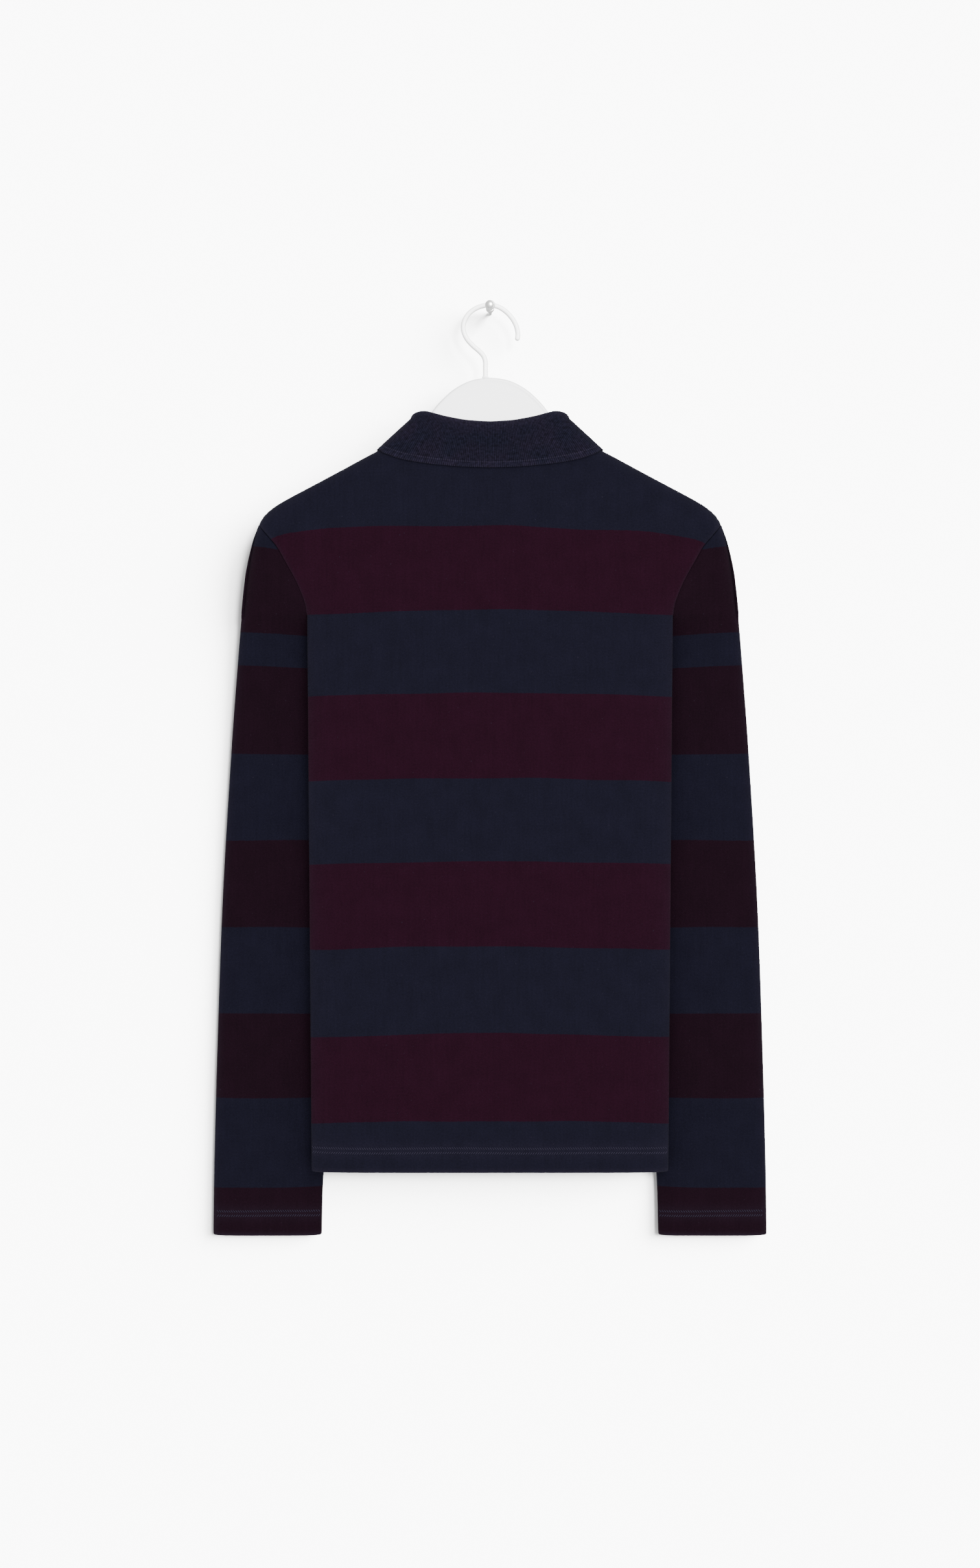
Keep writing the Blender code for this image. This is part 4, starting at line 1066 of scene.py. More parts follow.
def ribbed_material():
    """Flat-knit rib: painted highlight on the crests and painted shade between them, worn and
    highlit places lighter on the crests, and a dull bloom over the dye.
    """
    material, tree = new_material("collar_rib")
    cut = shader_node(tree, "ShaderNodeUVMap", uv_map="cut").outputs[0]
    place = shader_node(tree, "ShaderNodeSeparateXYZ", {0: cut})
    rib_turn = 2 * math.pi * RIBS / COLLAR_LENGTH
    crest = maths(tree, 'COSINE', maths(tree, 'MULTIPLY', place.outputs["X"], rib_turn))
    from_band = maths(tree, 'SUBTRACT', place.outputs["Y"], COLLAR_WIDTH - EDGE_BAND)
    in_band = ramp(tree, from_band, 0.0, 0.5 * MM)
    # A lighter line where the edge band starts: painted highlight
    band_line_highlight = ramp(tree, maths(tree, 'ABSOLUTE', from_band), 0.15 * MM, 0.6 * MM, 0.8, 0.0)
    knit = shader_node(tree, "ShaderNodeGroup", {0: cut}, node_tree=brushed_knit)
    knit.inputs["Column"].default_value = RIB_PITCH / 2
    knit.inputs["Course"].default_value = 0.9 * MM
    tone = knit.outputs["Tone"]
    bloom = ramp(tree, noise(tree, cut, 60.0, 2.0), 0.35, 0.65)
    dye = mixed_colour(tree, bloom, COLLAR_NAVY, COLLAR_BLOOM)
    # Rib crests lighter and the hollows between them darker: painted highlight and shade
    light = maths(tree, 'MULTIPLY_ADD', crest, 0.36, 1.0)
    light = maths(tree, 'MULTIPLY_ADD', in_band, 0.12, light)
    mottle = maths(tree, 'MULTIPLY_ADD', noise(tree, cut, 420.0, 3.0, 0.65), 2.6, -0.28)
    light = maths(tree, 'MULTIPLY', light, maths(tree, 'MULTIPLY_ADD', tone, 1.1, 0.45))
    toned = scaled_colour(tree, dye, maths(tree, 'MULTIPLY', light, mottle))
    # Worn places, the painted fold highlight and the band's line, mostly on the crests
    on_crest = maths(tree, 'MULTIPLY_ADD', crest, 0.16, 0.2)
    worn_and_highlit = maths(tree, 'MULTIPLY', maths(tree, 'ADD', painted_light_and_wear_map(tree), band_line_highlight), on_crest)
    surface(tree, {
        "Base Color": mixed_colour(tree, worn_and_highlit, toned, COLLAR_WORN_AND_HIGHLIGHT),
        "Normal": bump(tree, knit.outputs["Height"], 0.5, 0.2 * MM), "Roughness": 0.9,
        "Specular IOR Level": 0.08, "Sheen Weight": 0.03, "Sheen Roughness": 0.5})
    return material


POINTS_PER_RIB = 4
COLLAR_ROWS = 40
collar_net = cloth_sheet("collar_strip", RIBS * POINTS_PER_RIB, COLLAR_ROWS, collar_place,
                         outward=False)
collar = finished_piece("collar_strip", collar_net, ribbed_material())
thicken(collar, RIB_CLOTH)
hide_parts("collar")


# Cover stitching
# The turned-up hem and cuffs are held by two rows of soft thread, laid in short slanting ticks
# that lean together like a herringbone. Each tick is pulled into the cloth at both its ends.
THREAD = 0.42 * MM
TICK_PITCH = 2.05 * MM
TICK_HALF_HEIGHT = 1.05 * MM
HEM_THREAD_ROWS = (618.6 * MM, 622.6 * MM)
CUFF_THREAD_ROWS = (676.1 * MM, 680.0 * MM)
# One tick and its way back under the cloth: share of the pitch, side, height over the cloth in mm
TICK = (
    (0.00, -1.00, -0.30),
    (0.16, -0.72, 0.16),
    (0.48, 0.00, 0.30),
    (0.80, 0.72, 0.16),
    (0.96, 1.00, -0.30),
    (0.98, 0.00, -0.55),
)


def surface_finder(data):
    """Finds where a line along Y first meets a net's near or far face, and which way it faces."""
    tree = BVHTree.FromPolygons([vert.co for vert in data.vertices],
                                [face.vertices for face in data.polygons])

    def on_surface(x, drop, facing):
        start = Vector((x, HANGER_PLANE_Y + facing * 0.2, SHOULDER_Z - drop))
        place, normal, _, _ = tree.ray_cast(start, Vector((0.0, -facing, 0.0)))
        if place is None:
            return None
        return place, normal if normal.y * facing > 0.0 else -normal
    return on_surface


def rolled_tube(name, route, radius, sides=5, wider=None, across=None):
    """A net rolled up along a route into a thin tube, drawn to a point at both its ends.

    Its section starts to the side named by across, which lies level when it isn't given.
    """
    route = np.asarray(route)
    wider = np.ones(len(route)) if wider is None else wider
    along = np.gradient(route, axis=0)
    along /= np.linalg.norm(along, axis=1)[:, None]
    if across is None:
        across = np.cross(along, (0.0, 1.0, 0.0))
        across /= np.maximum(np.linalg.norm(across, axis=1), 1e-9)[:, None]
    across = np.broadcast_to(across, route.shape)
    outward = np.cross(across, along)
    run = path_length(route)
    to_end = np.minimum(run, run[-1] - run)
    size = radius * quarter_round(np.minimum(to_end / radius, 1.0))

    def place(u, v):
        at = np.rint(v * (len(route) - 1)).astype(int)
        turn = 2 * math.pi * u
        round_it = across[at] * (np.cos(turn) * wider[at])[:, None]
        round_it = round_it + outward[at] * np.sin(turn)[:, None]
        points = route[at] + round_it * size[at][:, None]
        return points.T, (turn * radius, run[at]), np.zeros(len(u))

    return cloth_sheet(name, sides, len(route) - 1, place)


def joined_nets(name, nets):
    """Several nets made into one, each point once and every face looking outwards."""
    together = bmesh.new()
    for net in nets:
        together.from_mesh(net)
        bpy.data.meshes.remove(net)
    bmesh.ops.remove_doubles(together, verts=together.verts, dist=0.002 * MM)
    bmesh.ops.recalc_face_normals(together, faces=together.faces)
    return mesh_of(name, together)


def ticks_along(on_surface, line, facing, half_height, pitch=TICK_PITCH, lean=1.0):
    """The route of one thread row over the cloth; line gives x and drop along the row."""
    line = np.asarray(line)
    run = path_length(line)
    count = int(run[-1] / pitch)
    route = []
    for tick in range(count):
        for share, side, over in TICK:
            at = (tick + share) * pitch
            x, drop = np.interp(at, run, line[:, 0]), np.interp(at, run, line[:, 1])
            ahead = min(at + 0.5 * MM, run[-1])
            run_x = np.interp(ahead, run, line[:, 0]) - np.interp(ahead - 1 * MM, run, line[:, 0])
            run_d = np.interp(ahead, run, line[:, 1]) - np.interp(ahead - 1 * MM, run, line[:, 1])
            off = lean * side * half_height / max(math.hypot(run_x, run_d), 1e-9)
            found = on_surface(x - run_d * off, drop + run_x * off, facing)
            if found:
                route.append(found[0] + found[1] * over * MM)
    return route


THREAD_COLOUR = (0.058, 0.050, 0.092)


def thread_material():
    """Spun polyester thread: two plies twisted together, with painted highlight and shade along the
    twist, a little lighter than the cloth.
    """
    material, tree = new_material("sewing_thread")
    cut = shader_node(tree, "ShaderNodeUVMap", uv_map="cut").outputs[0]
    place = shader_node(tree, "ShaderNodeSeparateXYZ", {0: cut})
    twist = maths(tree, 'ADD', maths(tree, 'MULTIPLY', place.outputs["X"], 2.0), place.outputs["Y"])
    plies = maths(tree, 'SINE', maths(tree, 'MULTIPLY', twist, 2 * math.pi / (0.6 * MM)))
    fuzz = noise(tree, cut, 900.0, 2.0)
    # The plies' twist lightens and darkens the colour: painted highlight and shade
    light = maths(tree, 'MULTIPLY_ADD', plies, 0.18, maths(tree, 'MULTIPLY_ADD', fuzz, 0.9, 0.55))
    surface(tree, {
        "Base Color": scaled_colour(tree, THREAD_COLOUR, light), "Roughness": 0.7,
        "Normal": bump(tree, plies, 0.5, 0.05 * MM), "Specular IOR Level": 0.25})
    return material


sewing_thread = thread_material()


def straight_line(start_x, end_x, drop):
    wave, wave_run, samples = 0.25 * MM, 21 * MM, 60
    return [(x, drop + wave * math.sin(x / wave_run))
            for x in np.linspace(start_x, end_x, samples)]


def cover_stitching(name, net, rows, start_x, end_x, facings):
    """Both rows of slanted ticks on each face of a hem or cuff."""
    on_surface = surface_finder(net)
    threads = []
    for facing in facings:
        for drop, lean in zip(rows, (1.0, -1.0)):
            line = straight_line(start_x, end_x, drop)
            route = ticks_along(on_surface, line, facing, TICK_HALF_HEIGHT, lean=lean)
            threads.append(rolled_tube("thread", route, THREAD / 2))
    return finished_piece(name, joined_nets(name, threads), sewing_thread)


SHORT_OF_EDGE = 1.2 * MM
hem_end = body_half_width(HEM_THREAD_ROWS[0]) - SHORT_OF_EDGE
cover_stitching("back_hem_stitching", back.data, HEM_THREAD_ROWS, -hem_end, hem_end, (-1,))
cover_stitching("front_hem_stitching", front.data, HEM_THREAD_ROWS, -hem_end, hem_end, (1,))
cuff_from = float(inner_fold_x(CUFF_THREAD_ROWS[0])) + SHORT_OF_EDGE
cuff_to = float(outer_fold_x(CUFF_THREAD_ROWS[0])) - SHORT_OF_EDGE
cover_stitching("left_cuff_stitching", left_sleeve.data, CUFF_THREAD_ROWS, -cuff_to, -cuff_from,
                (-1, 1))
cover_stitching("right_cuff_stitching", right_sleeve.data, CUFF_THREAD_ROWS, cuff_from, cuff_to,
                (-1, 1))


# Placket
# Two straight strips of plain woven cotton close the slit of the front. The under one fills the
# slit, the upper one covers it and is edge-stitched, with a boxed cross at its foot.
PLACKET_TOP = FRONT_NECK_DROP + 1.5 * MM
UNDER_HALF_WIDTH = SLIT_HALF_WIDTH - SEAM_GAP
UPPER_HALF_WIDTH = 15.5 * MM
UNDER_LIFT = -0.05 * MM
UPPER_LIFT = 1.65 * MM
PLACKET_FOOT = 9 * MM
PLACKET_EDGE_ROUNDING = 0.9 * MM
PLACKET_CLOTH = 1.1 * MM
PLACKET_NAVY = (0.0122, 0.0118, 0.0250)
EDGE_STITCH_INSET = 1.8 * MM
EDGE_STITCH_HALF_HEIGHT = 0.06 * MM
STITCHED_BOX_RISE = 4 * MM
STRAIGHT_STITCH = 2.4 * MM


def placket_strip(name, half_width, bottom, lift):
    """A strip with softly turned edges, lying on the front."""
    across = (-1.0, -0.985, -0.93, -0.6, 0.0, 0.6, 0.93, 0.985, 1.0)

    def place(u, v):
        x = np.interp(u, np.linspace(0.0, 1.0, len(across)), half_width * np.array(across))
        drop = blend_values(bottom, PLACKET_TOP, v)
        near = np.minimum(np.minimum(half_width - np.abs(x), bottom - drop) / PLACKET_EDGE_ROUNDING,
                          1.0)
        rounding = PLACKET_EDGE_ROUNDING * (1.0 - quarter_round(near))
        soft = 0.12 * MM * np.sin(drop / (13 * MM) + x / (5 * MM))
        y = HANGER_PLANE_Y + body_depth(x, drop) + lift + soft * near - rounding
        painted_light_and_wear = 0.5 * bell(half_width - np.abs(x), 1.2 * MM)
        return (x, y, SHOULDER_Z - drop), (x, drop), painted_light_and_wear

    return cloth_sheet(name, 32, 96, place, outward=False)


def woven_material():
    """Fine plain weave: warp and weft crossing, with painted highlight and shade where they cross,
    and a little slub in the yarn.
    """
    material, tree = new_material("placket_cotton")
    cut = shader_node(tree, "ShaderNodeUVMap", uv_map="cut").outputs[0]
    place = shader_node(tree, "ShaderNodeSeparateXYZ", {0: cut})
    yarn_turn = 2 * math.pi / (0.62 * MM)
    warp = maths(tree, 'SINE', maths(tree, 'MULTIPLY', place.outputs["X"], yarn_turn))
    weft = maths(tree, 'SINE', maths(tree, 'MULTIPLY', place.outputs["Y"], yarn_turn))
    weave = maths(tree, 'MULTIPLY', warp, weft)
    slub = noise(tree, cut, 240.0, 3.0, 0.6)
    # The weave's crossings lighten and darken the colour: painted highlight and shade
    light = maths(tree, 'MULTIPLY_ADD', weave, 0.14, maths(tree, 'MULTIPLY_ADD', slub, 0.7, 0.65))
    toned = scaled_colour(tree, PLACKET_NAVY, light)
    worn_and_highlit = maths(tree, 'MULTIPLY', painted_light_and_wear_map(tree), 0.5)
    surface(tree, {
        "Base Color": mixed_colour(tree, worn_and_highlit, toned, WORN_AND_HIGHLIGHT),
        "Normal": bump(tree, weave, 0.45, 0.08 * MM), "Roughness": 0.85,
        "Specular IOR Level": 0.12, "Sheen Weight": 0.02, "Sheen Roughness": 0.5})
    return material


placket_cotton = woven_material()
placket_pieces = []
for strip_name, node, half_width, bottom, lift in (
        ("placket_under_strip", "placket_under", UNDER_HALF_WIDTH,
         SLIT_BOTTOM_DROP - SEAM_GAP, UNDER_LIFT),
        ("placket_upper_strip", "placket_upper", UPPER_HALF_WIDTH,
         SLIT_BOTTOM_DROP + PLACKET_FOOT, UPPER_LIFT)):
    strip_net = placket_strip(strip_name, half_width, bottom, lift)
    strip = finished_piece(strip_name, strip_net, placket_cotton)
    thicken(strip, PLACKET_CLOTH)
    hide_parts(node)
    placket_pieces.append(strip)

upper_strip = placket_pieces[1]
on_upper = surface_finder(upper_strip.data)
stitch_x = UPPER_HALF_WIDTH - EDGE_STITCH_INSET
foot_stitch = SLIT_BOTTOM_DROP + PLACKET_FOOT - EDGE_STITCH_INSET
box_top = SLIT_BOTTOM_DROP - STITCHED_BOX_RISE
stitch_top = PLACKET_TOP + 1 * MM
stitch_lines = (
    ((-stitch_x, stitch_top), (-stitch_x, foot_stitch), (stitch_x, foot_stitch),
     (stitch_x, stitch_top)),
    ((-stitch_x, box_top), (stitch_x, box_top)),
    ((-stitch_x, foot_stitch), (stitch_x, box_top)),
    ((-stitch_x, box_top), (stitch_x, foot_stitch)),
)
edge_threads = [
    rolled_tube("thread", ticks_along(on_upper, line, 1, EDGE_STITCH_HALF_HEIGHT, STRAIGHT_STITCH),
                THREAD / 2)
    for line in stitch_lines]
finished_piece("placket_edge_stitching", joined_nets("placket_edge_stitching", edge_threads),
               sewing_thread)


# Buttons
# Three moulded buttons with a sunk middle and four holes, each sewn on by two bars of thread
# over its upright, satin-stitched buttonhole.
BUTTON_DROPS = (80 * MM, 125 * MM, 170 * MM)
BUTTON_BACK_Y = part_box("button_1")[0].y
BUTTON_FACE = 1.9 * MM
BUTTON_HOLE = 0.75 * MM
HOLE_SPACING = 1.25 * MM
BAR_LIFT = 0.62 * MM
BAR_SUNK = 0.8 * MM
BAR_HALF_SPACING = 0.22 * MM
BAR_RADIUS = 0.24 * MM
BUTTONHOLE_HALF_LENGTH = 6.6 * MM
BUTTONHOLE_HALF_WIDTH = 1.1 * MM
SATIN_HALF_HEIGHT = 0.75 * MM
SATIN_PITCH = 0.55 * MM
SATIN_THREAD_RADIUS = 0.2 * MM
SHARP_TURN = math.radians(50)
BUTTON_COLOUR = (0.020, 0.021, 0.040)
# Section of a button, in mm: radius and distance from its back
BUTTON_SECTION = (
    (0.0, 0.0), (3.9, 0.0), (4.7, 0.15), (5.2, 0.5), (5.45, 0.95), (5.5, 1.4), (5.4, 1.85),
    (5.15, 2.25), (4.75, 2.5), (4.35, 2.55), (3.95, 2.42), (3.6, 2.15), (3.3, 1.97), (2.9, 1.9),
    (0.0, 1.9),
)


def button_material():
    """Polyester button stock: nearly black blue, faintly marbled, polished on the rim."""
    material, tree = new_material("button_polyester")
    place = shader_node(tree, "ShaderNodeTexCoord").outputs["Object"]
    marble = noise(tree, place, 260.0, 4.0, 0.6)
    light = maths(tree, 'MULTIPLY_ADD', marble, 1.3, 0.35)
    rough = maths(tree, 'MULTIPLY_ADD', noise(tree, place, 900.0, 2.0), 0.2, 0.2)
    surface(tree, {"Base Color": scaled_colour(tree, BUTTON_COLOUR, light), "Roughness": rough,
                   "Coat Weight": 0.2})
    return material


def turned_section(name, section, way, steps):
    """Turn a section about the y axis; way tells which side of its start it stands on."""
    turned = bmesh.new()
    verts = [turned.verts.new((radius * MM, way * out * MM, 0.0)) for radius, out in section]
    edges = [turned.edges.new(pair) for pair in zip(verts, verts[1:])]
    bmesh.ops.spin(turned, geom=verts + edges, cent=(0.0, 0.0, 0.0), axis=(0.0, 1.0, 0.0),
                   angle=2 * math.pi, steps=steps, use_merge=True)
    bmesh.ops.remove_doubles(turned, verts=turned.verts, dist=0.001 * MM)
    bmesh.ops.recalc_face_normals(turned, faces=turned.faces)
    return mesh_of(name, turned)


def drilled_button(name, drop):
    """A turned button with its four holes drilled."""
    solid_data = turned_section(name, BUTTON_SECTION, 1, 48)
    drills = bmesh.new()
    for side, level in ((-1, -1), (-1, 1), (1, -1), (1, 1)):
        drill = bmesh.ops.create_cone(drills, cap_ends=True, segments=16, radius1=BUTTON_HOLE,
                                      radius2=BUTTON_HOLE, depth=12 * MM)["verts"]
        bmesh.ops.rotate(drills, verts=drill, cent=(0.0, 0.0, 0.0),
                         matrix=Matrix.Rotation(math.pi / 2, 3, 'X'))
        bmesh.ops.translate(drills, verts=drill,
                            vec=(side * HOLE_SPACING, 0.0, level * HOLE_SPACING))
    drill_data = mesh_of(name + "_drills", drills)
    solid = bpy.data.objects.new(name + "_solid", solid_data)
    drill_object = bpy.data.objects.new(name + "_drills", drill_data)
    bpy.context.collection.objects.link(solid)
    bpy.context.collection.objects.link(drill_object)
    drilling = solid.modifiers.new("holes", 'BOOLEAN')
    drilling.object = drill_object
    drilling.solver = 'EXACT'
    ready = solid.evaluated_get(bpy.context.evaluated_depsgraph_get())
    data = bpy.data.meshes.new_from_object(ready)
    data.name = name
    bpy.data.objects.remove(solid, do_unlink=True)
    bpy.data.objects.remove(drill_object, do_unlink=True)
    data.transform(Matrix.Translation((0.0, BUTTON_BACK_Y, SHOULDER_Z - drop)))
    return data


def sewn_bar(x, drop):
    """One bar of thread, up through a hole, over the button and down through the next."""
    last = 12
    route = []
    for step in range(last + 1):
        turn = math.pi * step / last
        out = BAR_LIFT * math.sin(turn) ** 0.6 - (BAR_SUNK if step in (0, last) else 0.0)
        level = -HOLE_SPACING * math.cos(turn)
        route.append((x, BUTTON_BACK_Y + BUTTON_FACE + out, SHOULDER_Z - drop + level))
    return route


def sewing_bars(drop):
    bars = []
    for x in (-HOLE_SPACING, HOLE_SPACING):
        for offset in (-BAR_HALF_SPACING, BAR_HALF_SPACING):
            route = sewn_bar(x + offset, drop)
            bars.append(rolled_tube("bar", route, BAR_RADIUS, 8, across=(1.0, 0.0, 0.0)))
    return bars


def buttonhole_line(drop):
    """Once round an upright buttonhole."""
    straight = BUTTONHOLE_HALF_LENGTH - BUTTONHOLE_HALF_WIDTH
    steps = 40
    line = []
    for step in range(steps + 1):
        turn = 2 * math.pi * step / steps
        end = math.copysign(straight, math.cos(turn))
        line.append((BUTTONHOLE_HALF_WIDTH * math.sin(turn),
                     drop + end + BUTTONHOLE_HALF_WIDTH * math.cos(turn)))
    return line


button_polyester = button_material()
for number, drop in enumerate(BUTTON_DROPS, 1):
    button_name = "shirt_button_%d" % number
    shirt_button = finished_piece(button_name, drilled_button(button_name, drop),
                                  button_polyester)
    shirt_button.data.set_sharp_from_angle(angle=SHARP_TURN)
    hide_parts("button_%d" % number)
    bars = joined_nets("button_thread_%d" % number, sewing_bars(drop))
    finished_piece("button_thread_%d" % number, bars, sewing_thread)
    satin = ticks_along(on_upper, buttonhole_line(drop), 1, SATIN_HALF_HEIGHT, SATIN_PITCH)
    satin_thread = rolled_tube("thread", satin, SATIN_THREAD_RADIUS, 4)
    satin_net = joined_nets("buttonhole_%d" % number, [satin_thread])
    finished_piece("buttonhole_%d" % number, satin_net, sewing_thread)


# Hanger
# One moulding of pale polystyrene: a thin domed plate with a slight rim, which thickens on each
# side into a rounded arm inside the shoulders. The hook is a separate rod pushed into its top.
PLATE_HALF_THICKNESS = 2.2 * MM
ARM_HALF_THICKNESS = 4.4 * MM
ARM_HEIGHT = 13 * MM
ARM_TAPER = 0.02
ARM_UNDER_RIDGE = 2.1 * MM
HANGER_HALF_SPAN = 186 * MM
HANGER_END_ROUNDING = 8 * MM
SWELL_START = 72 * MM
SWELL_LENGTH = 36 * MM
RIM_WIDTH = 2.2 * MM
RIM_HEIGHT = 0.25 * MM
RIM_FALL = 0.8 * MM
# Painted shade just inside the plate's edge: how far in and how wide
EDGE_SHADE_INSET = 0.6 * MM
EDGE_SHADE_WIDTH = 1.1 * MM
HANGER_PLASTIC = (0.72, 0.72, 0.725)
WHITE_PIECES_LIGHT = 17.0
WHITE_PIECES_DIRECTION = (0.4, -1.0, 0.4)
# Edges of the hanger, in mm: half width and drop
HANGER_TOP = (
    (0.0, -49.2),
    (10.0, -48.2),
    (20.0, -45.4),
    (32.0, -38.6),
    (42.0, -29.6),
    (50.0, -20.0),
    (57.0, -7.5),
    (62.0, 2.4),
    (66.0, 5.8),
    (72.0, 7.2),
    (78.0, 8.6),
)
HANGER_BOTTOM = (
    (0.0, 36.0),
    (30.0, 36.0),
    (55.0, 34.0),
    (75.0, 30.5),
    (95.0, 33.0),
)
top_edge = curve_through(HANGER_TOP)
bottom_edge = curve_through(HANGER_BOTTOM)


def hanger_top_drop(x):
    under_ridge = shoulder_drop(np.maximum(x, NECK_HALF_WIDTH)) + ARM_UNDER_RIDGE
    return np.where(x >= HANGER_TOP[-1][0] * MM, under_ridge, top_edge(x))


def hanger_bottom_drop(x):
    arm = hanger_top_drop(x) + ARM_HEIGHT + (HANGER_HALF_SPAN - x) * ARM_TAPER
    return np.where(x >= HANGER_BOTTOM[-1][0] * MM, arm, bottom_edge(x))


def hanger_place(u, v):
    """Round the section at each place along the hanger, from its top edge and back to it."""
    x = (2.0 * u - 1.0) * HANGER_HALF_SPAN
    x = np.sign(x) * HANGER_HALF_SPAN * np.sin(math.pi / 2 * np.abs(x) / HANGER_HALF_SPAN)
    out_x = np.abs(x)
    swell = eased(part_way(out_x - SWELL_START, SWELL_LENGTH))
    to_end = part_way(HANGER_HALF_SPAN - out_x, HANGER_END_ROUNDING)
    end = quarter_round(to_end)
    top, bottom = hanger_top_drop(out_x), hanger_bottom_drop(out_x)
    step = 0.5 * MM
    slope = (hanger_top_drop(out_x + step) - hanger_top_drop(np.maximum(out_x - step, 0.0)))
    slope = slope / (out_x + step - np.maximum(out_x - step, 0.0))
    middle, half_height = (top + bottom) / 2, (bottom - top) / 2
    near_side = v < 0.5
    down = np.where(near_side, 2.0 * v, 2.0 * (1.0 - v))
    level = -np.cos(math.pi * down)
    inside_top = (1.0 + level) * half_height / np.sqrt(1.0 + slope ** 2)
    to_edge = np.minimum(inside_top, (1.0 - level) * half_height)
    rounding = blend_values(PLATE_HALF_THICKNESS, half_height, swell)
    thickness = blend_values(PLATE_HALF_THICKNESS, ARM_HALF_THICKNESS, swell)
    share = part_way(to_edge, rounding)
    recess = eased(part_way(to_edge - RIM_WIDTH, RIM_FALL)) * RIM_HEIGHT * (1.0 - swell)
    out = thickness * quarter_round(share) * end - recess
    y = HANGER_PLANE_Y - np.where(near_side, 1.0, -1.0) * np.maximum(out, 0.0)
    drop = middle + level * half_height * blend_values(1.0, end, swell)
    # Painted shade along the rim, carried in the mesh's attribute
    shade = bell(to_edge - EDGE_SHADE_INSET, EDGE_SHADE_WIDTH) * (1.0 - swell)
    return (x, y, SHOULDER_Z - drop), (x, drop), shade


def plastic_material(name, plastic, roughness):
    """Moulded plastic with faint flow marks, and painted shade along the plate's rim and where the
    surface turns edge-on.
    """
    material, tree = new_material(name)
    place = shader_node(tree, "ShaderNodeTexCoord").outputs["Object"]
    flow = noise(tree, place, 14.0, 2.0)
    grain = noise(tree, place, 1800.0, 2.0)
    # Painted shade where the surface turns edge-on to the view
    facing = shader_node(tree, "ShaderNodeLayerWeight", {"Blend": 0.35}).outputs["Facing"]
    light = maths(tree, 'MULTIPLY_ADD', flow, 0.05, 0.975)
    light = maths(tree, 'SUBTRACT', light, maths(tree, 'MULTIPLY', painted_light_and_wear_map(tree), 0.10))
    light = maths(tree, 'SUBTRACT', light, maths(tree, 'MULTIPLY', facing, 0.28))
    rough = maths(tree, 'MULTIPLY_ADD', flow, 0.12, roughness)
    surface(tree, {"Base Color": scaled_colour(tree, plastic, light), "Roughness": rough,
                   "Normal": bump(tree, grain, 0.15, 0.03 * MM)})
    return material


hanger_net = cloth_sheet("shirt_hanger", 260, 88, hanger_place)
shirt_hanger = finished_piece("shirt_hanger", hanger_net,
                              plastic_material("hanger_polystyrene", HANGER_PLASTIC, 0.38),
                              merge=0.005 * MM)
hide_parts("hanger")
white_pieces = bpy.data.collections.new("white_pieces")
white_pieces.objects.link(shirt_hanger)
far_light("white_pieces_light", WHITE_PIECES_DIRECTION, WHITE_PIECES_LIGHT, WIDE_SPREAD,
          white_pieces)


# Hook
# A round rod of white plastic, bent once to the side and then round in one wide crook. It turns
# in a hole in the top of the plate, and its crook lies on the peg.
HOOK_PLANE_Y = -18 * MM
HOOK_ROD = 4.2 * MM
HOOK_LEAN_HEIGHT = 40 * MM
HOOK_FOOT_FLARE = 2.6
HOOK_FOOT_HEIGHT = 3.2 * MM
HOOK_SAMPLES = 180
HOOK_PLASTIC = (0.98, 0.98, 0.975)
# The rod's middle line from inside the plate up, round the crook and down to its tip, in mm
HOOK_LINE = (
    (-4.0, -60.6),
    (-4.0, -58.6),
    (-4.0, -56.0),
    (-4.0, -50.0),
    (-4.1, -45.5),
    (-5.6, -40.8),
    (-9.4, -36.3),
    (-14.5, -31.9),
    (-19.3, -26.6),
    (-22.4, -20.6),
    (-23.2, -14.0),
    (-21.0, -7.0),
    (-15.9, -1.2),
    (-8.5, 2.7),
    (-0.3, 4.0),
    (7.4, 2.4),
    (14.4, -2.2),
    (19.8, -8.4),
    (23.1, -15.2),
    (24.2, -21.6),
    (23.4, -27.2),
)


def hook_route():
    """The rod's middle line, leaning from the plate's plane out to the peg's."""
    foot_z = HOOK_LINE[0][1] * MM
    stations = []
    for x, z in HOOK_LINE:
        share = min((z * MM - foot_z) / HOOK_LEAN_HEIGHT, 1.0)
        stations.append((x * MM, blend_values(HANGER_PLANE_Y, HOOK_PLANE_Y, share), z * MM))
    at = np.linspace(0.0, len(stations) - 1.0, HOOK_SAMPLES)
    total = np.zeros((len(at), 3))
    for station, share in smooth_weights(at, len(stations)):
        total += np.array(stations)[station] * share[:, None]
    return total


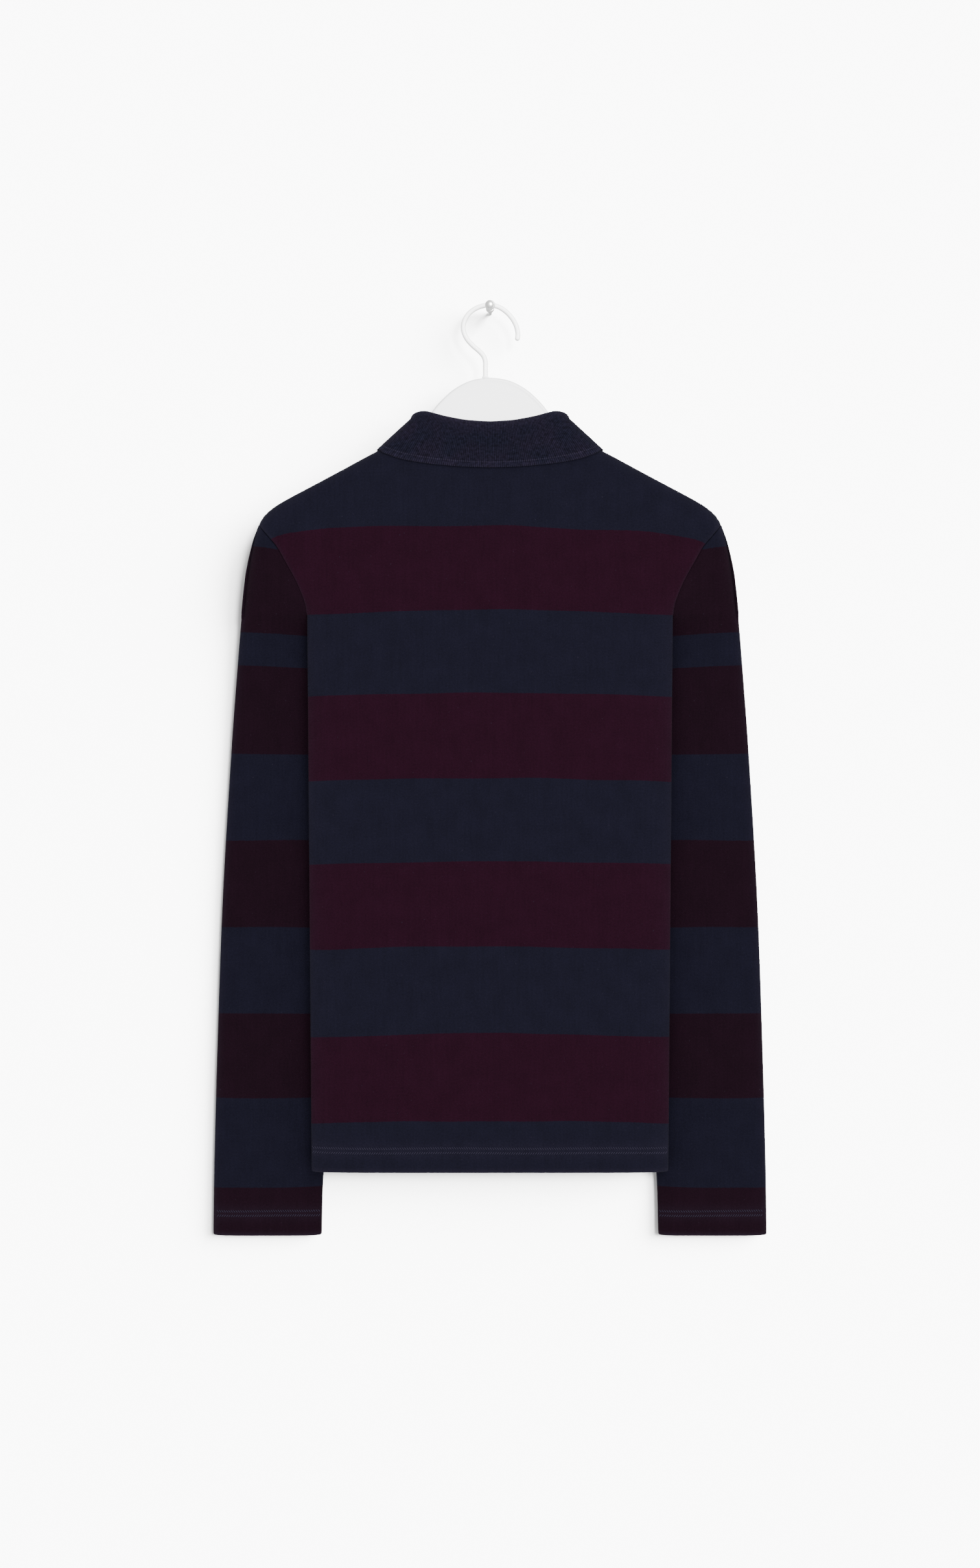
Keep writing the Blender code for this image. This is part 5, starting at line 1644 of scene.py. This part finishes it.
hook_points = hook_route()
above_foot = part_way(hook_points[:, 2] - hook_points[0, 2], HOOK_FOOT_HEIGHT)
hook_flare = 1.0 + (HOOK_FOOT_FLARE - 1.0) * (1.0 - above_foot) ** 2.5
hook_net = rolled_tube("shirt_hanger_hook", hook_points, HOOK_ROD / 2, 28, hook_flare)
hanger_hook = finished_piece("shirt_hanger_hook", joined_nets("shirt_hanger_hook", [hook_net]),
                             plastic_material("hook_plastic", HOOK_PLASTIC, 0.35))
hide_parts("hanger_hook")
white_pieces.objects.link(hanger_hook)


# Peg
# A turned steel peg, polished soft: a straight stem out of the wall, a collar that keeps the
# hook from sliding forward, and a domed round head with a rolled rim.
PEG_STEEL = (0.93, 0.93, 0.92)
# Section of the peg from the wall to its crown, in mm: radius and distance from the wall
PEG_SECTION = (
    (0.0, 0.0), (1.6, 0.0), (1.6, 10.0), (1.6, 21.3), (2.9, 21.4), (3.4, 21.55), (3.65, 21.9),
    (3.65, 24.0), (3.65, 26.1), (3.5, 26.5), (3.1, 26.7), (1.9, 26.8), (1.65, 27.0), (1.6, 27.4),
    (1.6, 36.1), (1.8, 36.45), (2.6, 36.8), (3.6, 37.3), (4.15, 37.95), (4.35, 38.7),
    (4.25, 39.4), (3.95, 39.95), (3.6, 40.2), (3.35, 40.25), (3.2, 40.45), (2.8, 41.1),
    (2.1, 41.75), (1.1, 42.25), (0.0, 42.4),
)


def steel_material():
    """Polished steel with fine turning marks round its axis."""
    material, tree = new_material("peg_steel")
    place = shader_node(tree, "ShaderNodeTexCoord").outputs["Object"]
    marks = noise(tree, stretched(tree, place, (60.0, 5200.0, 60.0)), 1.0, 2.0)
    smears = noise(tree, place, 320.0, 2.0)
    rough = maths(tree, 'MULTIPLY_ADD', smears, 0.2, 0.3)
    light = maths(tree, 'MULTIPLY_ADD', smears, 0.12, 0.94)
    surface(tree, {"Base Color": scaled_colour(tree, PEG_STEEL, light), "Metallic": 1.0,
                   "Roughness": rough, "Normal": bump(tree, marks, 0.12, 0.02 * MM)})
    return material


peg_data = turned_section("round_headed_peg", PEG_SECTION, -1, 56)
peg = finished_piece("round_headed_peg", peg_data, steel_material())
peg.data.set_sharp_from_angle(angle=SHARP_TURN)
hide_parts("wall_peg")
white_pieces.objects.link(peg)
